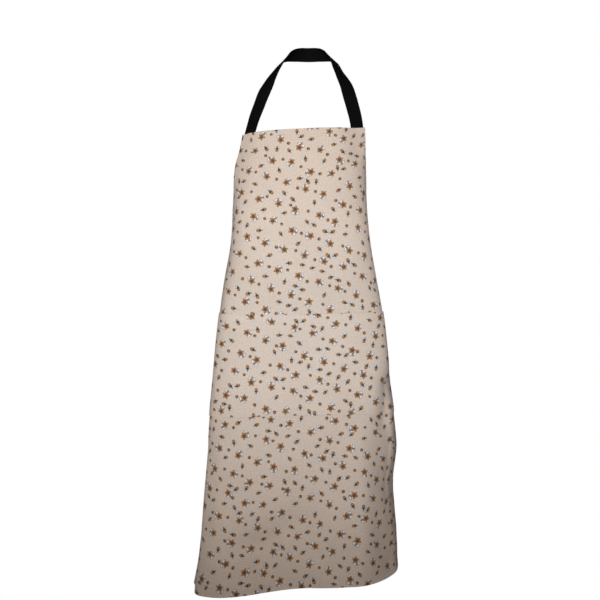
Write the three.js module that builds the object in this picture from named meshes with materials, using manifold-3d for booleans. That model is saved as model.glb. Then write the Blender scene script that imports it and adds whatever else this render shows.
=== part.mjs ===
// Bib apron of cotton canvas: one body cut with a bib, armhole curves and a skirt, one wide patch pocket,
// a neck loop of webbing sewn behind the bib's corners, and two webbing waist ties tied in a bow behind.
// The cloth hangs as in wear: round the front, with both sides drawn back at the waist.
//
// Millimetres, +Z up, front towards -Y, +X to the right seen from the front. The origin is on the inner face
// of the neck strap, in the middle of the back of the neck, where the apron hangs.

import * as THREE from 'three';
import { mergeVertices } from 'three/addons/utils/BufferGeometryUtils.js';
import { RoundedBoxGeometry } from 'three/addons/geometries/RoundedBoxGeometry.js';
import Module from 'manifold-3d';

// ---------------------------------------------------------------- driving dimensions (mm)
const CLOTH = 1.2;          // canvas wall
const HEM_DEPTH = 14;       // turned hem along every edge of the body
const HEM_EXTRA = 0.9;      // the turned layer, on the inside
const HEM_STEP = 1.0;       // width over which the turned layer ends
const BIB_HALF = 137;       // half width of the bib's top edge, laid flat
const SKIRT_HALF = 340;     // half width of the skirt, laid flat
const ARM_DROP = 330;       // depth of the armhole curve below the bib's top edge
const ARM_STRAIGHT = 0.4;   // share of the armhole curve that is a straight slant
const ARM_POWER = 2.8;      // how late the rest sweeps out
const POCKET_TOP = 378;     // pocket mouth, below the bib's top edge
const POCKET_DEEP = 207;    // pocket height
const POCKET_COLUMNS = 24;  // body columns that the pocket spans
const POCKET_SLACK = 2.2;   // how far the pocket stands off in its middle
const POCKET_SAG = 2.5;     // droop of the mouth between its ends
const WEB_WIDE = 30;        // webbing width
const WEB_THICK = 1.5;      // webbing thickness
const GAP = 0.3;            // between pieces that touch
const SEW_GAP = 0.8;        // between webbing and the hem it is sewn to
const STRAP_SEWN = 30;      // neck strap tucked behind the bib
const STRAP_AT = [-119.5, 118];  // middle of each strap end along the bib's top edge
const STRAP_LEAN = 0.25;    // how far each sewn end splays outwards, for each millimetre down
const TIE_DROP = 346;       // middle of the waist ties, below the bib's top edge
const KNOT = { wide: 32, deep: 20, tall: 29, round: 5 };
const KNOT_OFF = 9;         // knot centre behind the line of the ties
const KNOT_SHIFT = 14;      // knot to the left of the middle of the back, half-way between the side edges
const TIE_IN = -4;          // where the ties enter the knot, towards the wearer
const TIE_NECK = 13;        // width of a tie where it enters the knot
const BODY_COLUMNS = 34;    // columns between the side hems
const BODY_ROWS = { bib: 13, waist: 2, pocket: 8, skirt: 13 };

// A row for each level section of the hanging cloth, from the bib's top edge to the hem.
//   z, front      height and depth of the front line        side, back   depth of the outermost points, and of the back
//   left, right   outermost X                               line         X of the apron's own centre line
//   turn          degrees the section is turned to -X       square       2 is an ellipse, more is squarer
//   rise          slope of the cross threads towards +X     dip, lift    how far they sink on the left, rise on the right
const SECTION_COLUMNS = ['z', 'front', 'side', 'back', 'left', 'right', 'line', 'turn', 'square', 'rise', 'dip', 'lift'];
const SECTION_ROWS = [
  [-168, -142, -82, 20, -172.0, 136.0, -11.0, 7.0, 2.10, 0.037, 1, 0],
  [-243, -163, -100, 20, -160.8, 123.4, -11.0, 2.5, 2.40, 0.035, 1, 0],
  [-314, -176, -106, 16, -156.2, 118.8, -10.5, -2.0, 2.65, 0.030, 0, 0],
  [-395, -178, -110, 12, -160.2, 125.5, -9.5, -4.0, 2.75, 0.022, 0, 0],
  [-475, -173, -108, 10, -173.6, 138.8, -8.0, -4.5, 2.75, 0.014, 0, 0],
  [-542, -167, -110, 14, -182.6, 151.0, -6.0, -3.5, 2.75, 0.010, 0, 0],
  [-646, -163, -112, 32, -193.2, 162.6, -4.0, 0.0, 2.65, 0.010, 1, 0],
  [-748, -174, -116, 40, -203.2, 176.5, -1.5, 2.5, 2.70, 0.012, 4, 1],
  [-816, -176, -118, 38, -208.6, 186.7, 0.0, 4.0, 2.85, 0.014, 7, 5],
  [-896, -181, -120, 34, -215.8, 180.0, 1.5, 4.5, 2.95, 0.012, 11, 12],
  [-966, -186, -122, 31, -222.2, 183.2, 2.5, 4.5, 2.95, 0.008, 15, 19],
  [-1036, -190, -124, 29, -229.5, 188.4, 3.5, 4.5, 2.85, 0.004, 21, 27],
  [-1093, -194, -125, 28, -240.0, 188.6, 4.0, 4.5, 2.45, 0.000, 26, 36],
];
const DIP_REACH = 0.85;     // share of the left half over which the dip grows
const DIP_EASE = { share: 0.45, from: 45, run: 75 };   // how the dip eases off again round the left side
const LIFT_POWER = 2.6;     // how late the lift grows on the right half
const LIFT_PAST = 1.05;     // how far round the right side it goes on growing

// A row for each soft fold, in the flat cloth (s across from the centre line, t down from the bib's top edge):
// it runs from one point to another, fades over its reach, and stands out (+) or in (-) by its height.
const FOLD_COLUMNS = ['s0', 't0', 's1', 't1', 'reach', 'height'];
const FOLD_ROWS = [
  [150, -20, 150, 60, 60, -6],       // bib's right corner falls back
  [116, -20, 118, 40, 34, -9],       // hollow beside it
  [-150, -20, -150, 20, 40, -9],     // bib's left corner falls back
  [-152, -20, -158, 110, 40, -4],
  [-76, 696, -70, 752, 44, 5],       // swell over the thigh
  [-14, 806, -108, 846, 42, -20],    // slanting hollow under it
  [-108, 846, -168, 852, 36, -10],   // its left end
  [-66, 876, 24, 874, 40, -15],      // broad hollow above the hem
  [66, 800, 66, 862, 45, 6],         // swell at the other knee
  [-194, 860, -200, 940, 44, 5],     // front left of the hem stands out
  [174, 530, 164, 596, 26, -13],     // dent at the right hip
  [104, 650, 108, 960, 26, 7],       // ridge down the right front
  [176, 650, 176, 900, 44, -18],     // long hollow down the right
  [-212, 660, -222, 960, 25, -4],    // long hollow down the left
  [-282, 440, -276, 940, 24, -7],    // hanging sides behind
  [-318, 500, -320, 940, 20, 6],
  [262, 430, 254, 940, 26, -8],
  [302, 460, 306, 940, 22, 7],
  [336, 540, 338, 940, 18, -4],
  [-296, 344, -236, 334, 11, -2],    // drawn towards the ties
  [-296, 362, -228, 400, 13, -2.5],
  [296, 344, 236, 334, 11, -2],
  [296, 362, 228, 400, 13, -2.5],
];

// Neck strap between the two sewn ends: middle of the webbing, and the way its outer face looks
// (az: degrees from the front towards +X, el: degrees up).
const STRAP_COLUMNS = ['x', 'y', 'z', 'az', 'el'];
const STRAP_ROWS = [
  [-111.9, -91, -141.0, -38, 12],
  [-102.8, -86, -116.0, -35, 12],
  [-93.2, -81, -90.5, -32, 14],
  [-85.0, -76, -73.4, -38, 21],
  [-77.0, -69, -56.0, -50, 35],
  [-67.0, -59, -38.4, -69, 50],
  [-54.5, -44, -19.5, -96, 58],
  [-42.0, -27, -6.5, -126, 46],
  [-23.0, -8, -0.8, -158, 24],
  [0.0, 0.73, 0.17, -180, 13],
  [23.0, -9, -0.8, -202, 24],
  [41.0, -31, -6.5, -236, 46],
  [52.0, -56, -18.6, -270, 58],
  [61.5, -76, -41.3, -303, 48],
  [70.0, -88, -59.3, -323, 32],
  [77.9, -96, -76.8, -334, 21],
  [83.0, -101, -93.9, -341, 14],
  [90.0, -106, -119.2, -339, 12],
  [96.0, -111, -144.0, -336, 12],
];
const STRAP_STEPS = 3;      // pieces between two rows

// Bow, seen from behind the knot: x out from the knot, y away from the wearer, z up.
const EAR_DROOP = 15;       // degrees below level
const EAR_COLUMNS = ['x', 'y'];
const EAR_ROWS = [[2, 5], [24, 10], [48, 14], [70, 13], [84, 9], [89, 5], [84, 1.5], [70, 0], [48, 0], [24, 1], [2, 1]];
const TAIL_COLUMNS = ['x', 'y', 'z', 'twist'];
const TAIL_ROWS = {
  left: [[-3, 3, -2, 8], [-9, 5, -26, 10], [-17, 5, -70, 14], [-24, 4, -140, 20], [-28, 3, -220, 16], [-30, 2, -296, 10]],
  right: [[4, 6, -2, -6], [12, 9, -26, -8], [20, 9, -74, -14], [26, 8, -150, -20], [29, 7, -240, -24], [33, 5, -322, -20]],
};

// ---------------------------------------------------------------- small helpers
const rad = (deg) => (deg * Math.PI) / 180;
const clamp = (v, lo, hi) => Math.min(hi, Math.max(lo, v));
const smooth = (v) => { const c = clamp(v, 0, 1); return c * c * (3 - 2 * c); };
const powSigned = (v, p) => Math.sign(v) * Math.pow(Math.abs(v), p);
const vec = (x, y, z) => new THREE.Vector3(x, y, z);
const asTable = (columns, rows) => rows.map((row) => Object.fromEntries(columns.map((name, i) => [name, row[i]])));

// smooth curve through table rows: value of a column at position k along keys
function through(keys, values, k) {
  const n = keys.length;
  let i = 0;
  while (i < n - 2 && k > keys[i + 1]) i += 1;
  const slope = (j) => {
    if (j === 0) return (values[1] - values[0]) / (keys[1] - keys[0]);
    if (j === n - 1) return (values[n - 1] - values[n - 2]) / (keys[n - 1] - keys[n - 2]);
    return (values[j + 1] - values[j - 1]) / (keys[j + 1] - keys[j - 1]);
  };
  const h = keys[i + 1] - keys[i];
  const u = (k - keys[i]) / h;
  const u2 = u * u;
  const u3 = u2 * u;
  return (2 * u3 - 3 * u2 + 1) * values[i] + (u3 - 2 * u2 + u) * h * slope(i)
    + (-2 * u3 + 3 * u2) * values[i + 1] + (u3 - u2) * h * slope(i + 1);
}

// ---------------------------------------------------------------- the hanging cloth
const SECTIONS = asTable(SECTION_COLUMNS, SECTION_ROWS);
const FOLDS = asTable(FOLD_COLUMNS, FOLD_ROWS);
const DROPS = SECTIONS.reduce((list, row, i) => {
  if (i === 0) return [0];
  const above = SECTIONS[i - 1];
  return [...list, list[i - 1] + Math.hypot(row.z - above.z, row.front - above.front)];
}, []);
const LENGTH = DROPS[DROPS.length - 1];   // flat length on the centre line
const POCKET_BOTTOM = POCKET_TOP + POCKET_DEEP;

// half width of the flat cut at a drop, and the slope of its edge
function halfWidth(t) {
  const u = clamp(t / ARM_DROP, 0, 1);
  return BIB_HALF + (SKIRT_HALF - BIB_HALF) * (ARM_STRAIGHT * u + (1 - ARM_STRAIGHT) * Math.pow(u, ARM_POWER));
}
const edgeSlope = (t) => (t >= ARM_DROP ? 0 : (halfWidth(t + 0.5) - halfWidth(Math.max(0, t - 0.5))) / (t < 0.5 ? t + 0.5 : 1));
const hemReach = (t) => HEM_DEPTH * Math.hypot(1, edgeSlope(t));

// closed level curve at a drop, measured along itself from the centre line
const SECTION_STEPS = 720;
const sectionCache = new Map();
function sectionAt(t) {
  const key = Math.round(t * 1000);
  if (sectionCache.has(key)) return sectionCache.get(key);
  const row = Object.fromEntries(SECTION_COLUMNS.map((name) => [name, through(DROPS, SECTIONS.map((r) => r[name]), t)]));
  const ct = Math.cos(rad(row.turn));
  const st = Math.sin(rad(row.turn));
  const unit = [];
  for (let i = 0; i <= SECTION_STEPS; i += 1) {
    const angle = -Math.PI + (2 * Math.PI * i) / SECTION_STEPS;
    const deep = Math.cos(angle) >= 0 ? row.side - row.front : row.back - row.side;
    unit.push([powSigned(Math.sin(angle), 2 / row.square), deep * powSigned(Math.cos(angle), 2 / row.square)]);
  }
  let wide = (row.right - row.left) / 2;
  let middle = (row.right + row.left) / 2;
  let xs = [];
  for (let round = 0; round < 6; round += 1) {
    xs = unit.map(([u, v]) => middle + wide * u * ct - v * st);
    const lo = Math.min(...xs);
    const hi = Math.max(...xs);
    wide *= (row.right - row.left) / (hi - lo);
    middle += (row.right + row.left) / 2 - (hi + lo) / 2;
  }
  const ys = unit.map(([u, v]) => row.side - wide * u * st - v * ct);
  const run = [0];
  for (let i = 1; i <= SECTION_STEPS; i += 1) run.push(run[i - 1] + Math.hypot(xs[i] - xs[i - 1], ys[i] - ys[i - 1]));
  let start = 0;
  for (let i = SECTION_STEPS / 4; i < (3 * SECTION_STEPS) / 4; i += 1) {
    if (xs[i] <= row.line && xs[i + 1] > row.line) start = run[i] + ((row.line - xs[i]) / (xs[i + 1] - xs[i])) * (run[i + 1] - run[i]);
  }
  const sRight = run[xs.indexOf(Math.max(...xs))] - start;
  const sLeft = run[xs.indexOf(Math.min(...xs))] - start;
  const section = { row, xs, ys, run, start, sRight, sLeft, total: run[SECTION_STEPS] };
  sectionCache.set(key, section);
  return section;
}

// point of the plain hanging cloth (no folds) at s across and t down
function hang(s, t) {
  const sec = sectionAt(t);
  const { row } = sec;
  const along = clamp(sec.start + s, 0, sec.total - 1e-6);
  let lo = 0;
  let hi = SECTION_STEPS;
  while (hi - lo > 1) {
    const mid = (lo + hi) >> 1;
    if (sec.run[mid] <= along) lo = mid; else hi = mid;
  }
  const f = (along - sec.run[lo]) / (sec.run[hi] - sec.run[lo]);
  const x = sec.xs[lo] + f * (sec.xs[hi] - sec.xs[lo]);
  const y = sec.ys[lo] + f * (sec.ys[hi] - sec.ys[lo]);
  const toLeft = s <= sec.sLeft ? 1 : (row.line - x) / (row.line - row.left);
  const eased = DIP_EASE.share * smooth((sec.sLeft + DIP_EASE.from - s) / DIP_EASE.run);
  const toRight = clamp(s / sec.sRight, 0, LIFT_PAST);
  const z = row.z + row.rise * (x - row.line)
    - row.dip * (smooth(toLeft / DIP_REACH) - eased) + row.lift * Math.pow(toRight, LIFT_POWER);
  return vec(x, y, z);
}

function foldHeight(s, t) {
  return FOLDS.reduce((sum, f) => {
    const ds = f.s1 - f.s0;
    const dt = f.t1 - f.t0;
    const k = clamp(((s - f.s0) * ds + (t - f.t0) * dt) / (ds * ds + dt * dt), 0, 1);
    const away = Math.hypot(s - f.s0 - k * ds, t - f.t0 - k * dt) / f.reach;
    return sum + f.height * Math.exp(-away * away);
  }, 0);
}

// outward normal of a sheet given by a point function
const NORMAL_STEP = 2;
function normalOf(point, s, t) {
  const t0 = clamp(t - NORMAL_STEP, 0, LENGTH);
  const t1 = clamp(t + NORMAL_STEP, 0, LENGTH);
  const across = point(s + NORMAL_STEP, t).sub(point(s - NORMAL_STEP, t));
  const down = point(s, t1).sub(point(s, t0));
  return down.cross(across).normalize();
}

const middle = (s, t) => hang(s, t).addScaledVector(normalOf(hang, s, t), foldHeight(s, t));
const offset = (s, t, out) => middle(s, t).addScaledVector(normalOf(middle, s, t), out);

// ---------------------------------------------------------------- solids
// closed wall between two grids of points with the same rows and columns
function wall(outer, inner) {
  const rows = outer.length;
  const cols = outer[0].length;
  const positions = [...outer.flat(), ...inner.flat()].flatMap((p) => [p.x, p.y, p.z]);
  const o = (r, c) => r * cols + c;
  const i = (r, c) => rows * cols + r * cols + c;
  const faces = [];
  const quad = (a, b, c, d) => faces.push(a, b, c, a, c, d);
  for (let r = 0; r < rows - 1; r += 1) {
    for (let c = 0; c < cols - 1; c += 1) {
      quad(o(r, c), o(r + 1, c), o(r + 1, c + 1), o(r, c + 1));
      quad(i(r, c), i(r, c + 1), i(r + 1, c + 1), i(r + 1, c));
    }
    quad(o(r, 0), i(r, 0), i(r + 1, 0), o(r + 1, 0));
    quad(o(r, cols - 1), o(r + 1, cols - 1), i(r + 1, cols - 1), i(r, cols - 1));
  }
  for (let c = 0; c < cols - 1; c += 1) {
    quad(o(0, c), o(0, c + 1), i(0, c + 1), i(0, c));
    quad(o(rows - 1, c), i(rows - 1, c), i(rows - 1, c + 1), o(rows - 1, c + 1));
  }
  const geometry = new THREE.BufferGeometry();
  geometry.setAttribute('position', new THREE.Float32BufferAttribute(positions, 3));
  geometry.setIndex(faces);
  geometry.computeVertexNormals();
  return geometry;
}

// flat webbing through stations, each with its two edges and the way its outer face looks
function webbing(stations, thick) {
  const side = (sign) => stations.map(({ a, b, n }) => [a, b].map((p) => p.clone().addScaledVector(n, (sign * thick) / 2)));
  return wall(side(1), side(-1));
}

const levels = (from, to, count) => Array.from({ length: count }, (_, k) => from + ((to - from) * k) / count);

// rows of the body, with the hem's step at the top and the bottom
const bodyRows = [
  0, HEM_DEPTH, HEM_DEPTH + HEM_STEP,
  ...levels(HEM_DEPTH + 14, ARM_DROP, BODY_ROWS.bib),
  ...levels(ARM_DROP, POCKET_TOP, BODY_ROWS.waist),
  ...levels(POCKET_TOP, POCKET_BOTTOM, BODY_ROWS.pocket),
  ...levels(POCKET_BOTTOM, LENGTH - HEM_DEPTH - HEM_STEP, BODY_ROWS.skirt),
  LENGTH - HEM_DEPTH - HEM_STEP, LENGTH - HEM_DEPTH, LENGTH,
];
// columns of the body at a drop
function bodyColumns(t) {
  const half = halfWidth(t);
  const hem = hemReach(t);
  const inner = half - hem - HEM_STEP;
  const between = Array.from({ length: BODY_COLUMNS - 1 }, (_, k) => -inner + (2 * inner * (k + 1)) / BODY_COLUMNS);
  return [-half, -half + hem, -inner, ...between, inner, half - hem, half];
}
const inHem = (s, t) => t <= HEM_DEPTH || t >= LENGTH - HEM_DEPTH || Math.abs(s) >= halfWidth(t) - hemReach(t) - 1e-6;
const insideOf = (s, t) => CLOTH / 2 + (inHem(s, t) ? HEM_EXTRA : 0);

function bodyGeometry() {
  const outer = bodyRows.map((t) => bodyColumns(t).map((s) => offset(s, t, CLOTH / 2)));
  const inner = bodyRows.map((t) => bodyColumns(t).map((s) => offset(s, t, -insideOf(s, t))));
  return wall(outer, inner);
}

// pocket: on the body's own rows and columns, so that its wall runs level with the cloth behind it
const pocketColumns = bodyColumns(POCKET_TOP).slice(3 + (BODY_COLUMNS - 2 - POCKET_COLUMNS) / 2).slice(0, POCKET_COLUMNS + 1);
const pocketRows = bodyRows.filter((t) => t >= POCKET_TOP - 1e-6 && t <= POCKET_BOTTOM + 1e-6);
function pocketGeometry() {
  const half = pocketColumns[pocketColumns.length - 1];
  const stand = (s, t) => {
    const across = 1 - Math.pow(Math.abs(s) / half, 6);
    const down = Math.pow(1 - (t - POCKET_TOP) / POCKET_DEEP, 0.7);
    return CLOTH / 2 + GAP + POCKET_SLACK * across * down;
  };
  const droop = (s, t) => (t > POCKET_TOP + 1 ? 0 : POCKET_SAG * (1 - Math.pow(s / half, 2)));
  const grid = (extra) => pocketRows.map((t) => pocketColumns.map((s) => {
    const p = offset(s, t, stand(s, t) + extra);
    p.z -= droop(s, t);
    return p;
  }));
  return wall(grid(CLOTH), grid(0));
}

// neck strap: both ends tucked behind the bib, then over the shoulders and round the back of the neck
function strapGeometry() {
  const tucked = (at) => [STRAP_SEWN, STRAP_SEWN / 2, 0].map((t) => {
    const out = -(CLOTH / 2 + HEM_EXTRA + SEW_GAP + WEB_THICK / 2);
    const lean = Math.sign(at) * STRAP_LEAN;
    const half = WEB_WIDE / 2 / Math.hypot(1, lean);
    const s = at + lean * t;
    const a = offset(s - half, Math.max(0, t + half * lean), out);
    const b = offset(s + half, Math.max(0, t - half * lean), out);
    return { a, b, n: normalOf(middle, s, t) };
  });
  const rows = asTable(STRAP_COLUMNS, STRAP_ROWS);
  const left = tucked(STRAP_AT[0]);
  const right = tucked(STRAP_AT[1]).reverse();
  const centre = (st) => st.a.clone().add(st.b).multiplyScalar(0.5);
  const look = (az, el) => vec(Math.sin(rad(az)) * Math.cos(rad(el)), -Math.cos(rad(az)) * Math.cos(rad(el)), Math.sin(rad(el)));
  const points = [centre(left[2]), ...rows.map((r) => vec(r.x, r.y, r.z)), centre(right[0])];
  const looks = [left[2].n, ...rows.map((r) => look(r.az, r.el)), right[0].n];
  const path = new THREE.CatmullRomCurve3(points, false, 'centripetal');
  const steps = (points.length - 1) * STRAP_STEPS;
  const free = [];
  for (let k = 1; k < steps; k += 1) {
    const u = k / steps;
    const p = path.getPoint(u);
    const along = path.getTangent(u);
    const f = u * (points.length - 1);
    const i = Math.min(Math.floor(f), points.length - 2);
    const n = looks[i].clone().lerp(looks[i + 1], f - i);
    n.addScaledVector(along, -n.dot(along)).normalize();
    const w = along.clone().cross(n).normalize();
    free.push({ a: p.clone().addScaledVector(w, -WEB_WIDE / 2), b: p.clone().addScaledVector(w, WEB_WIDE / 2), n });
  }
  // the sewn ends run upwards on the left and downwards on the right, so their edges change over
  const turned = right.map(({ a, b, n }) => ({ a: b, b: a, n }));
  const stations = [...left, ...free, ...turned].map(({ a, b, n }) => ({ a: b, b: a, n }));
  return webbing(stations, WEB_THICK);
}

// waist ties: from behind the side edges, round the back to the knot
const knotAt = (() => {
  const sec = sectionAt(TIE_DROP);
  const p = hang(-sec.start + KNOT_SHIFT, TIE_DROP);
  return { back: p, centre: p.clone().add(vec(0, KNOT_OFF, 0)) };
})();
function tieGeometry(sign) {
  const sec = sectionAt(TIE_DROP);
  const toBack = (sign > 0 ? sec.total - sec.start : -sec.start) + KNOT_SHIFT;   // s of the knot
  const out = -(CLOTH / 2 + HEM_EXTRA + SEW_GAP + WEB_THICK / 2);
  const columns = bodyColumns(TIE_DROP).filter((s) => sign * s >= SKIRT_HALF - 36);
  const sewn = (sign > 0 ? columns : columns.reverse());
  const stations = sewn.map((s) => ({
    a: offset(s, TIE_DROP - WEB_WIDE / 2, out),
    b: offset(s, TIE_DROP + WEB_WIDE / 2, out),
    n: normalOf(middle, s, TIE_DROP),
  }));
  const end = toBack - sign * (KNOT.wide / 2 + GAP);
  const last = sign * SKIRT_HALF;
  const steps = 8;
  for (let k = 1; k <= steps; k += 1) {
    const u = k / steps;
    const s = last + (end - last) * u;
    const p = hang(s, TIE_DROP);
    const n = normalOf(hang, s, TIE_DROP);
    p.addScaledVector(n, out * (1 - smooth(u * 1.5)));
    p.y += (KNOT_OFF + TIE_IN) * smooth(u);
    const half = (WEB_WIDE - (WEB_WIDE - TIE_NECK) * smooth((u - 0.45) / 0.55)) / 2;
    stations.push({ a: p.clone().add(vec(0, 0, half)), b: p.clone().add(vec(0, 0, -half)), n });
  }
  const ends = sign > 0 ? stations : stations.map(({ a, b, n }) => ({ a: b, b: a, n }));
  return webbing(ends.map(({ a, b, n }) => ({ a: b, b: a, n })), WEB_THICK);
}

// bow: knot, two ears and two tails in one
const wasm = await Module();
wasm.setup();
function solid(geometry) {
  const bare = new THREE.BufferGeometry();
  bare.setAttribute('position', geometry.getAttribute('position').clone());
  if (geometry.index) bare.setIndex(geometry.index.clone());
  const merged = mergeVertices(bare, 1e-4);
  return new wasm.Manifold(new wasm.Mesh({
    numProp: 3,
    vertProperties: new Float32Array(merged.getAttribute('position').array),
    triVerts: new Uint32Array(merged.index.array),
  }));
}
function fromSolid(manifold) {
  const mesh = manifold.getMesh();
  const geometry = new THREE.BufferGeometry();
  geometry.setAttribute('position', new THREE.BufferAttribute(new Float32Array(mesh.vertProperties), 3));
  geometry.setIndex(new THREE.BufferAttribute(new Uint32Array(mesh.triVerts), 1));
  geometry.computeVertexNormals();
  return geometry;
}
function stationsAlong(points, widthAt, wide, count) {
  const path = new THREE.CatmullRomCurve3(points, false, 'centripetal');
  return Array.from({ length: count + 1 }, (_, k) => {
    const u = k / count;
    const p = path.getPoint(u);
    const along = path.getTangent(u);
    const w = widthAt(u).clone();
    w.addScaledVector(along, -w.dot(along)).normalize();
    const n = along.clone().cross(w).normalize();
    return { a: p.clone().addScaledVector(w, -wide / 2), b: p.clone().addScaledVector(w, wide / 2), n };
  });
}
function bowGeometry() {
  const ear = (sign) => {
    const down = rad(EAR_DROOP);
    const points = asTable(EAR_COLUMNS, EAR_ROWS).map((r) => vec(sign * r.x * Math.cos(down), r.y, -r.x * Math.sin(down)));
    const w = vec(sign * Math.sin(down), 0, Math.cos(down));
    return webbing(stationsAlong(points, () => w, WEB_WIDE, 22), WEB_THICK);
  };
  const tail = (rows) => {
    const table = asTable(TAIL_COLUMNS, rows);
    const points = table.map((r) => vec(r.x, r.y, r.z));
    const keys = table.map((_, k) => k / (table.length - 1));
    const w = (u) => {
      const a = rad(through(keys, table.map((r) => r.twist), u));
      return vec(Math.cos(a), Math.sin(a), 0);
    };
    return webbing(stationsAlong(points, w, WEB_WIDE, 12), WEB_THICK);
  };
  const knot = new RoundedBoxGeometry(KNOT.wide, KNOT.deep, KNOT.tall, 3, KNOT.round);
  const whole = [ear(1), ear(-1), tail(TAIL_ROWS.left), tail(TAIL_ROWS.right)]
    .reduce((sum, piece) => sum.add(solid(piece)), solid(knot));
  return fromSolid(whole);
}

// ---------------------------------------------------------------- assembly
const canvas = () => new THREE.MeshStandardMaterial({ color: 0xd8c7b3, roughness: 0.9, metalness: 0 });
const black = () => new THREE.MeshStandardMaterial({ color: 0x141416, roughness: 0.7, metalness: 0 });
function piece(name, geometry, material) {
  const mesh = new THREE.Mesh(geometry, material);
  mesh.name = name;
  return mesh;
}

const apron = new THREE.Group();
apron.add(piece('apron_body', bodyGeometry(), canvas()));
apron.add(piece('pocket', pocketGeometry(), canvas()));
apron.add(piece('neck_strap', strapGeometry(), black()));
apron.add(piece('waist_tie_left', tieGeometry(-1), black()));
apron.add(piece('waist_tie_right', tieGeometry(1), black()));
const bow = piece('waist_bow', bowGeometry(), black());
bow.position.copy(knotAt.centre);
apron.add(bow);

export default apron;
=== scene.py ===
import math

import bpy
import numpy as np
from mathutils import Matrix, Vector


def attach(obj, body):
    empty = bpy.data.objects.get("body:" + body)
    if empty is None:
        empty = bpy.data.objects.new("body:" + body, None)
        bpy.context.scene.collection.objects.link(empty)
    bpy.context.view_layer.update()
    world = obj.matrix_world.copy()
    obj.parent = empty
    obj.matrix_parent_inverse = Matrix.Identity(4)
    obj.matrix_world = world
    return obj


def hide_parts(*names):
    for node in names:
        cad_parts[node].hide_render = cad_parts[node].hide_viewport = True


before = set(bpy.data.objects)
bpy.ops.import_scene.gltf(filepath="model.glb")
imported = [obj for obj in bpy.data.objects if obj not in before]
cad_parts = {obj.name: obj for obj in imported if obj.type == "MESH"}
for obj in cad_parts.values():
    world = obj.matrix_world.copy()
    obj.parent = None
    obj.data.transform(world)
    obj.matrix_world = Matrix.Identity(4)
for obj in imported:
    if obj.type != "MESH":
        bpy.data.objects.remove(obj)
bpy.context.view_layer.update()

RNG = np.random.default_rng(11)
MM = 0.001

# ================================================================ sizes (mm), as in the part's source
CLOTH = 0.9            # canvas
HEM_DEPTH = 14.0
HEM_EXTRA = 1.1        # turned layers on the inside
BIB_HALF, SKIRT_HALF = 137.0, 340.0
ARM_DROP, ARM_STRAIGHT, ARM_POWER = 330.0, 0.4, 2.8
POCKET_TOP, POCKET_DEEP, POCKET_HALF = 378.0, 207.0, 229.4
POCKET_SLACK, POCKET_SAG, POCKET_HEM = 1.5, 2.5, 22.0
WEB_WIDE, WEB_THICK = 30.0, 1.5
STRAP_SEWN, STRAP_AT, STRAP_LEAN = 30.0, (-119.5, 118.0), 0.25
TIE_DROP, KNOT_OFF, KNOT_SHIFT, TIE_IN, TIE_NECK = 346.0, 9.0, 14.0, -4.0, 13.0
KNOT_WIDE = 32.0

SECTION_COLUMNS = ["z", "front", "side", "back", "left", "right", "line", "turn", "square", "rise", "dip", "lift"]
SECTION_ROWS = np.array([
    [-168, -142, -82, 20, -172.0, 136.0, -11.0, 7.0, 2.10, 0.037, 1, 0],
    [-243, -163, -100, 20, -160.8, 123.4, -11.0, 2.5, 2.40, 0.035, 1, 0],
    [-314, -176, -106, 16, -156.2, 118.8, -10.5, -2.0, 2.65, 0.030, 0, 0],
    [-395, -178, -110, 12, -160.2, 125.5, -9.5, -4.0, 2.75, 0.022, 0, 0],
    [-475, -173, -108, 10, -173.6, 138.8, -8.0, -4.5, 2.75, 0.014, 0, 0],
    [-542, -167, -110, 14, -182.6, 151.0, -6.0, -3.5, 2.75, 0.010, 0, 0],
    [-646, -163, -112, 32, -193.2, 162.6, -4.0, 0.0, 2.65, 0.010, 1, 0],
    [-748, -174, -116, 40, -203.2, 176.5, -1.5, 2.5, 2.70, 0.012, 4, 1],
    [-816, -176, -118, 38, -208.6, 186.7, 0.0, 4.0, 2.85, 0.014, 7, 5],
    [-896, -181, -120, 34, -215.8, 180.0, 1.5, 4.5, 2.95, 0.012, 11, 12],
    [-966, -186, -122, 31, -222.2, 183.2, 2.5, 4.5, 2.95, 0.008, 15, 19],
    [-1036, -190, -124, 29, -229.5, 188.4, 3.5, 4.5, 2.85, 0.004, 21, 27],
    [-1093, -194, -125, 28, -240.0, 188.6, 4.0, 4.5, 2.45, 0.000, 26, 36],
], float)
DIP_REACH, DIP_EASE, DIP_EASE_RUN = 0.85, 0.45, 75.0
LIFT_POWER, LIFT_PAST = 2.6, 1.05

FOLD_COLUMNS = ["s0", "t0", "s1", "t1", "reach", "height"]
FOLD_ROWS = [
    [150, -20, 150, 60, 60, -6],
    [116, -20, 118, 40, 34, -9],
    [-150, -20, -150, 20, 40, -9],
    [-152, -20, -158, 110, 40, -4],
    [-76, 696, -70, 752, 44, 5],
    [-14, 806, -108, 846, 42, -20],
    [-108, 846, -168, 852, 36, -10],
    [-66, 876, 24, 874, 40, -15],
    [66, 800, 66, 862, 45, 6],
    [-194, 860, -200, 940, 44, 5],
    [174, 530, 164, 596, 26, -13],
    [104, 650, 108, 960, 26, 7],
    [176, 650, 176, 900, 44, -18],
    [-212, 660, -222, 960, 25, -4],
    [-282, 440, -276, 940, 24, -7],
    [-318, 500, -320, 940, 20, 6],
    [262, 430, 254, 940, 26, -8],
    [302, 460, 306, 940, 22, 7],
    [336, 540, 338, 940, 18, -4],
    [-296, 344, -236, 334, 11, -2],
    [-296, 362, -228, 400, 13, -2.5],
    [296, 344, 236, 334, 11, -2],
    [296, 362, 228, 400, 13, -2.5],
]

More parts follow.
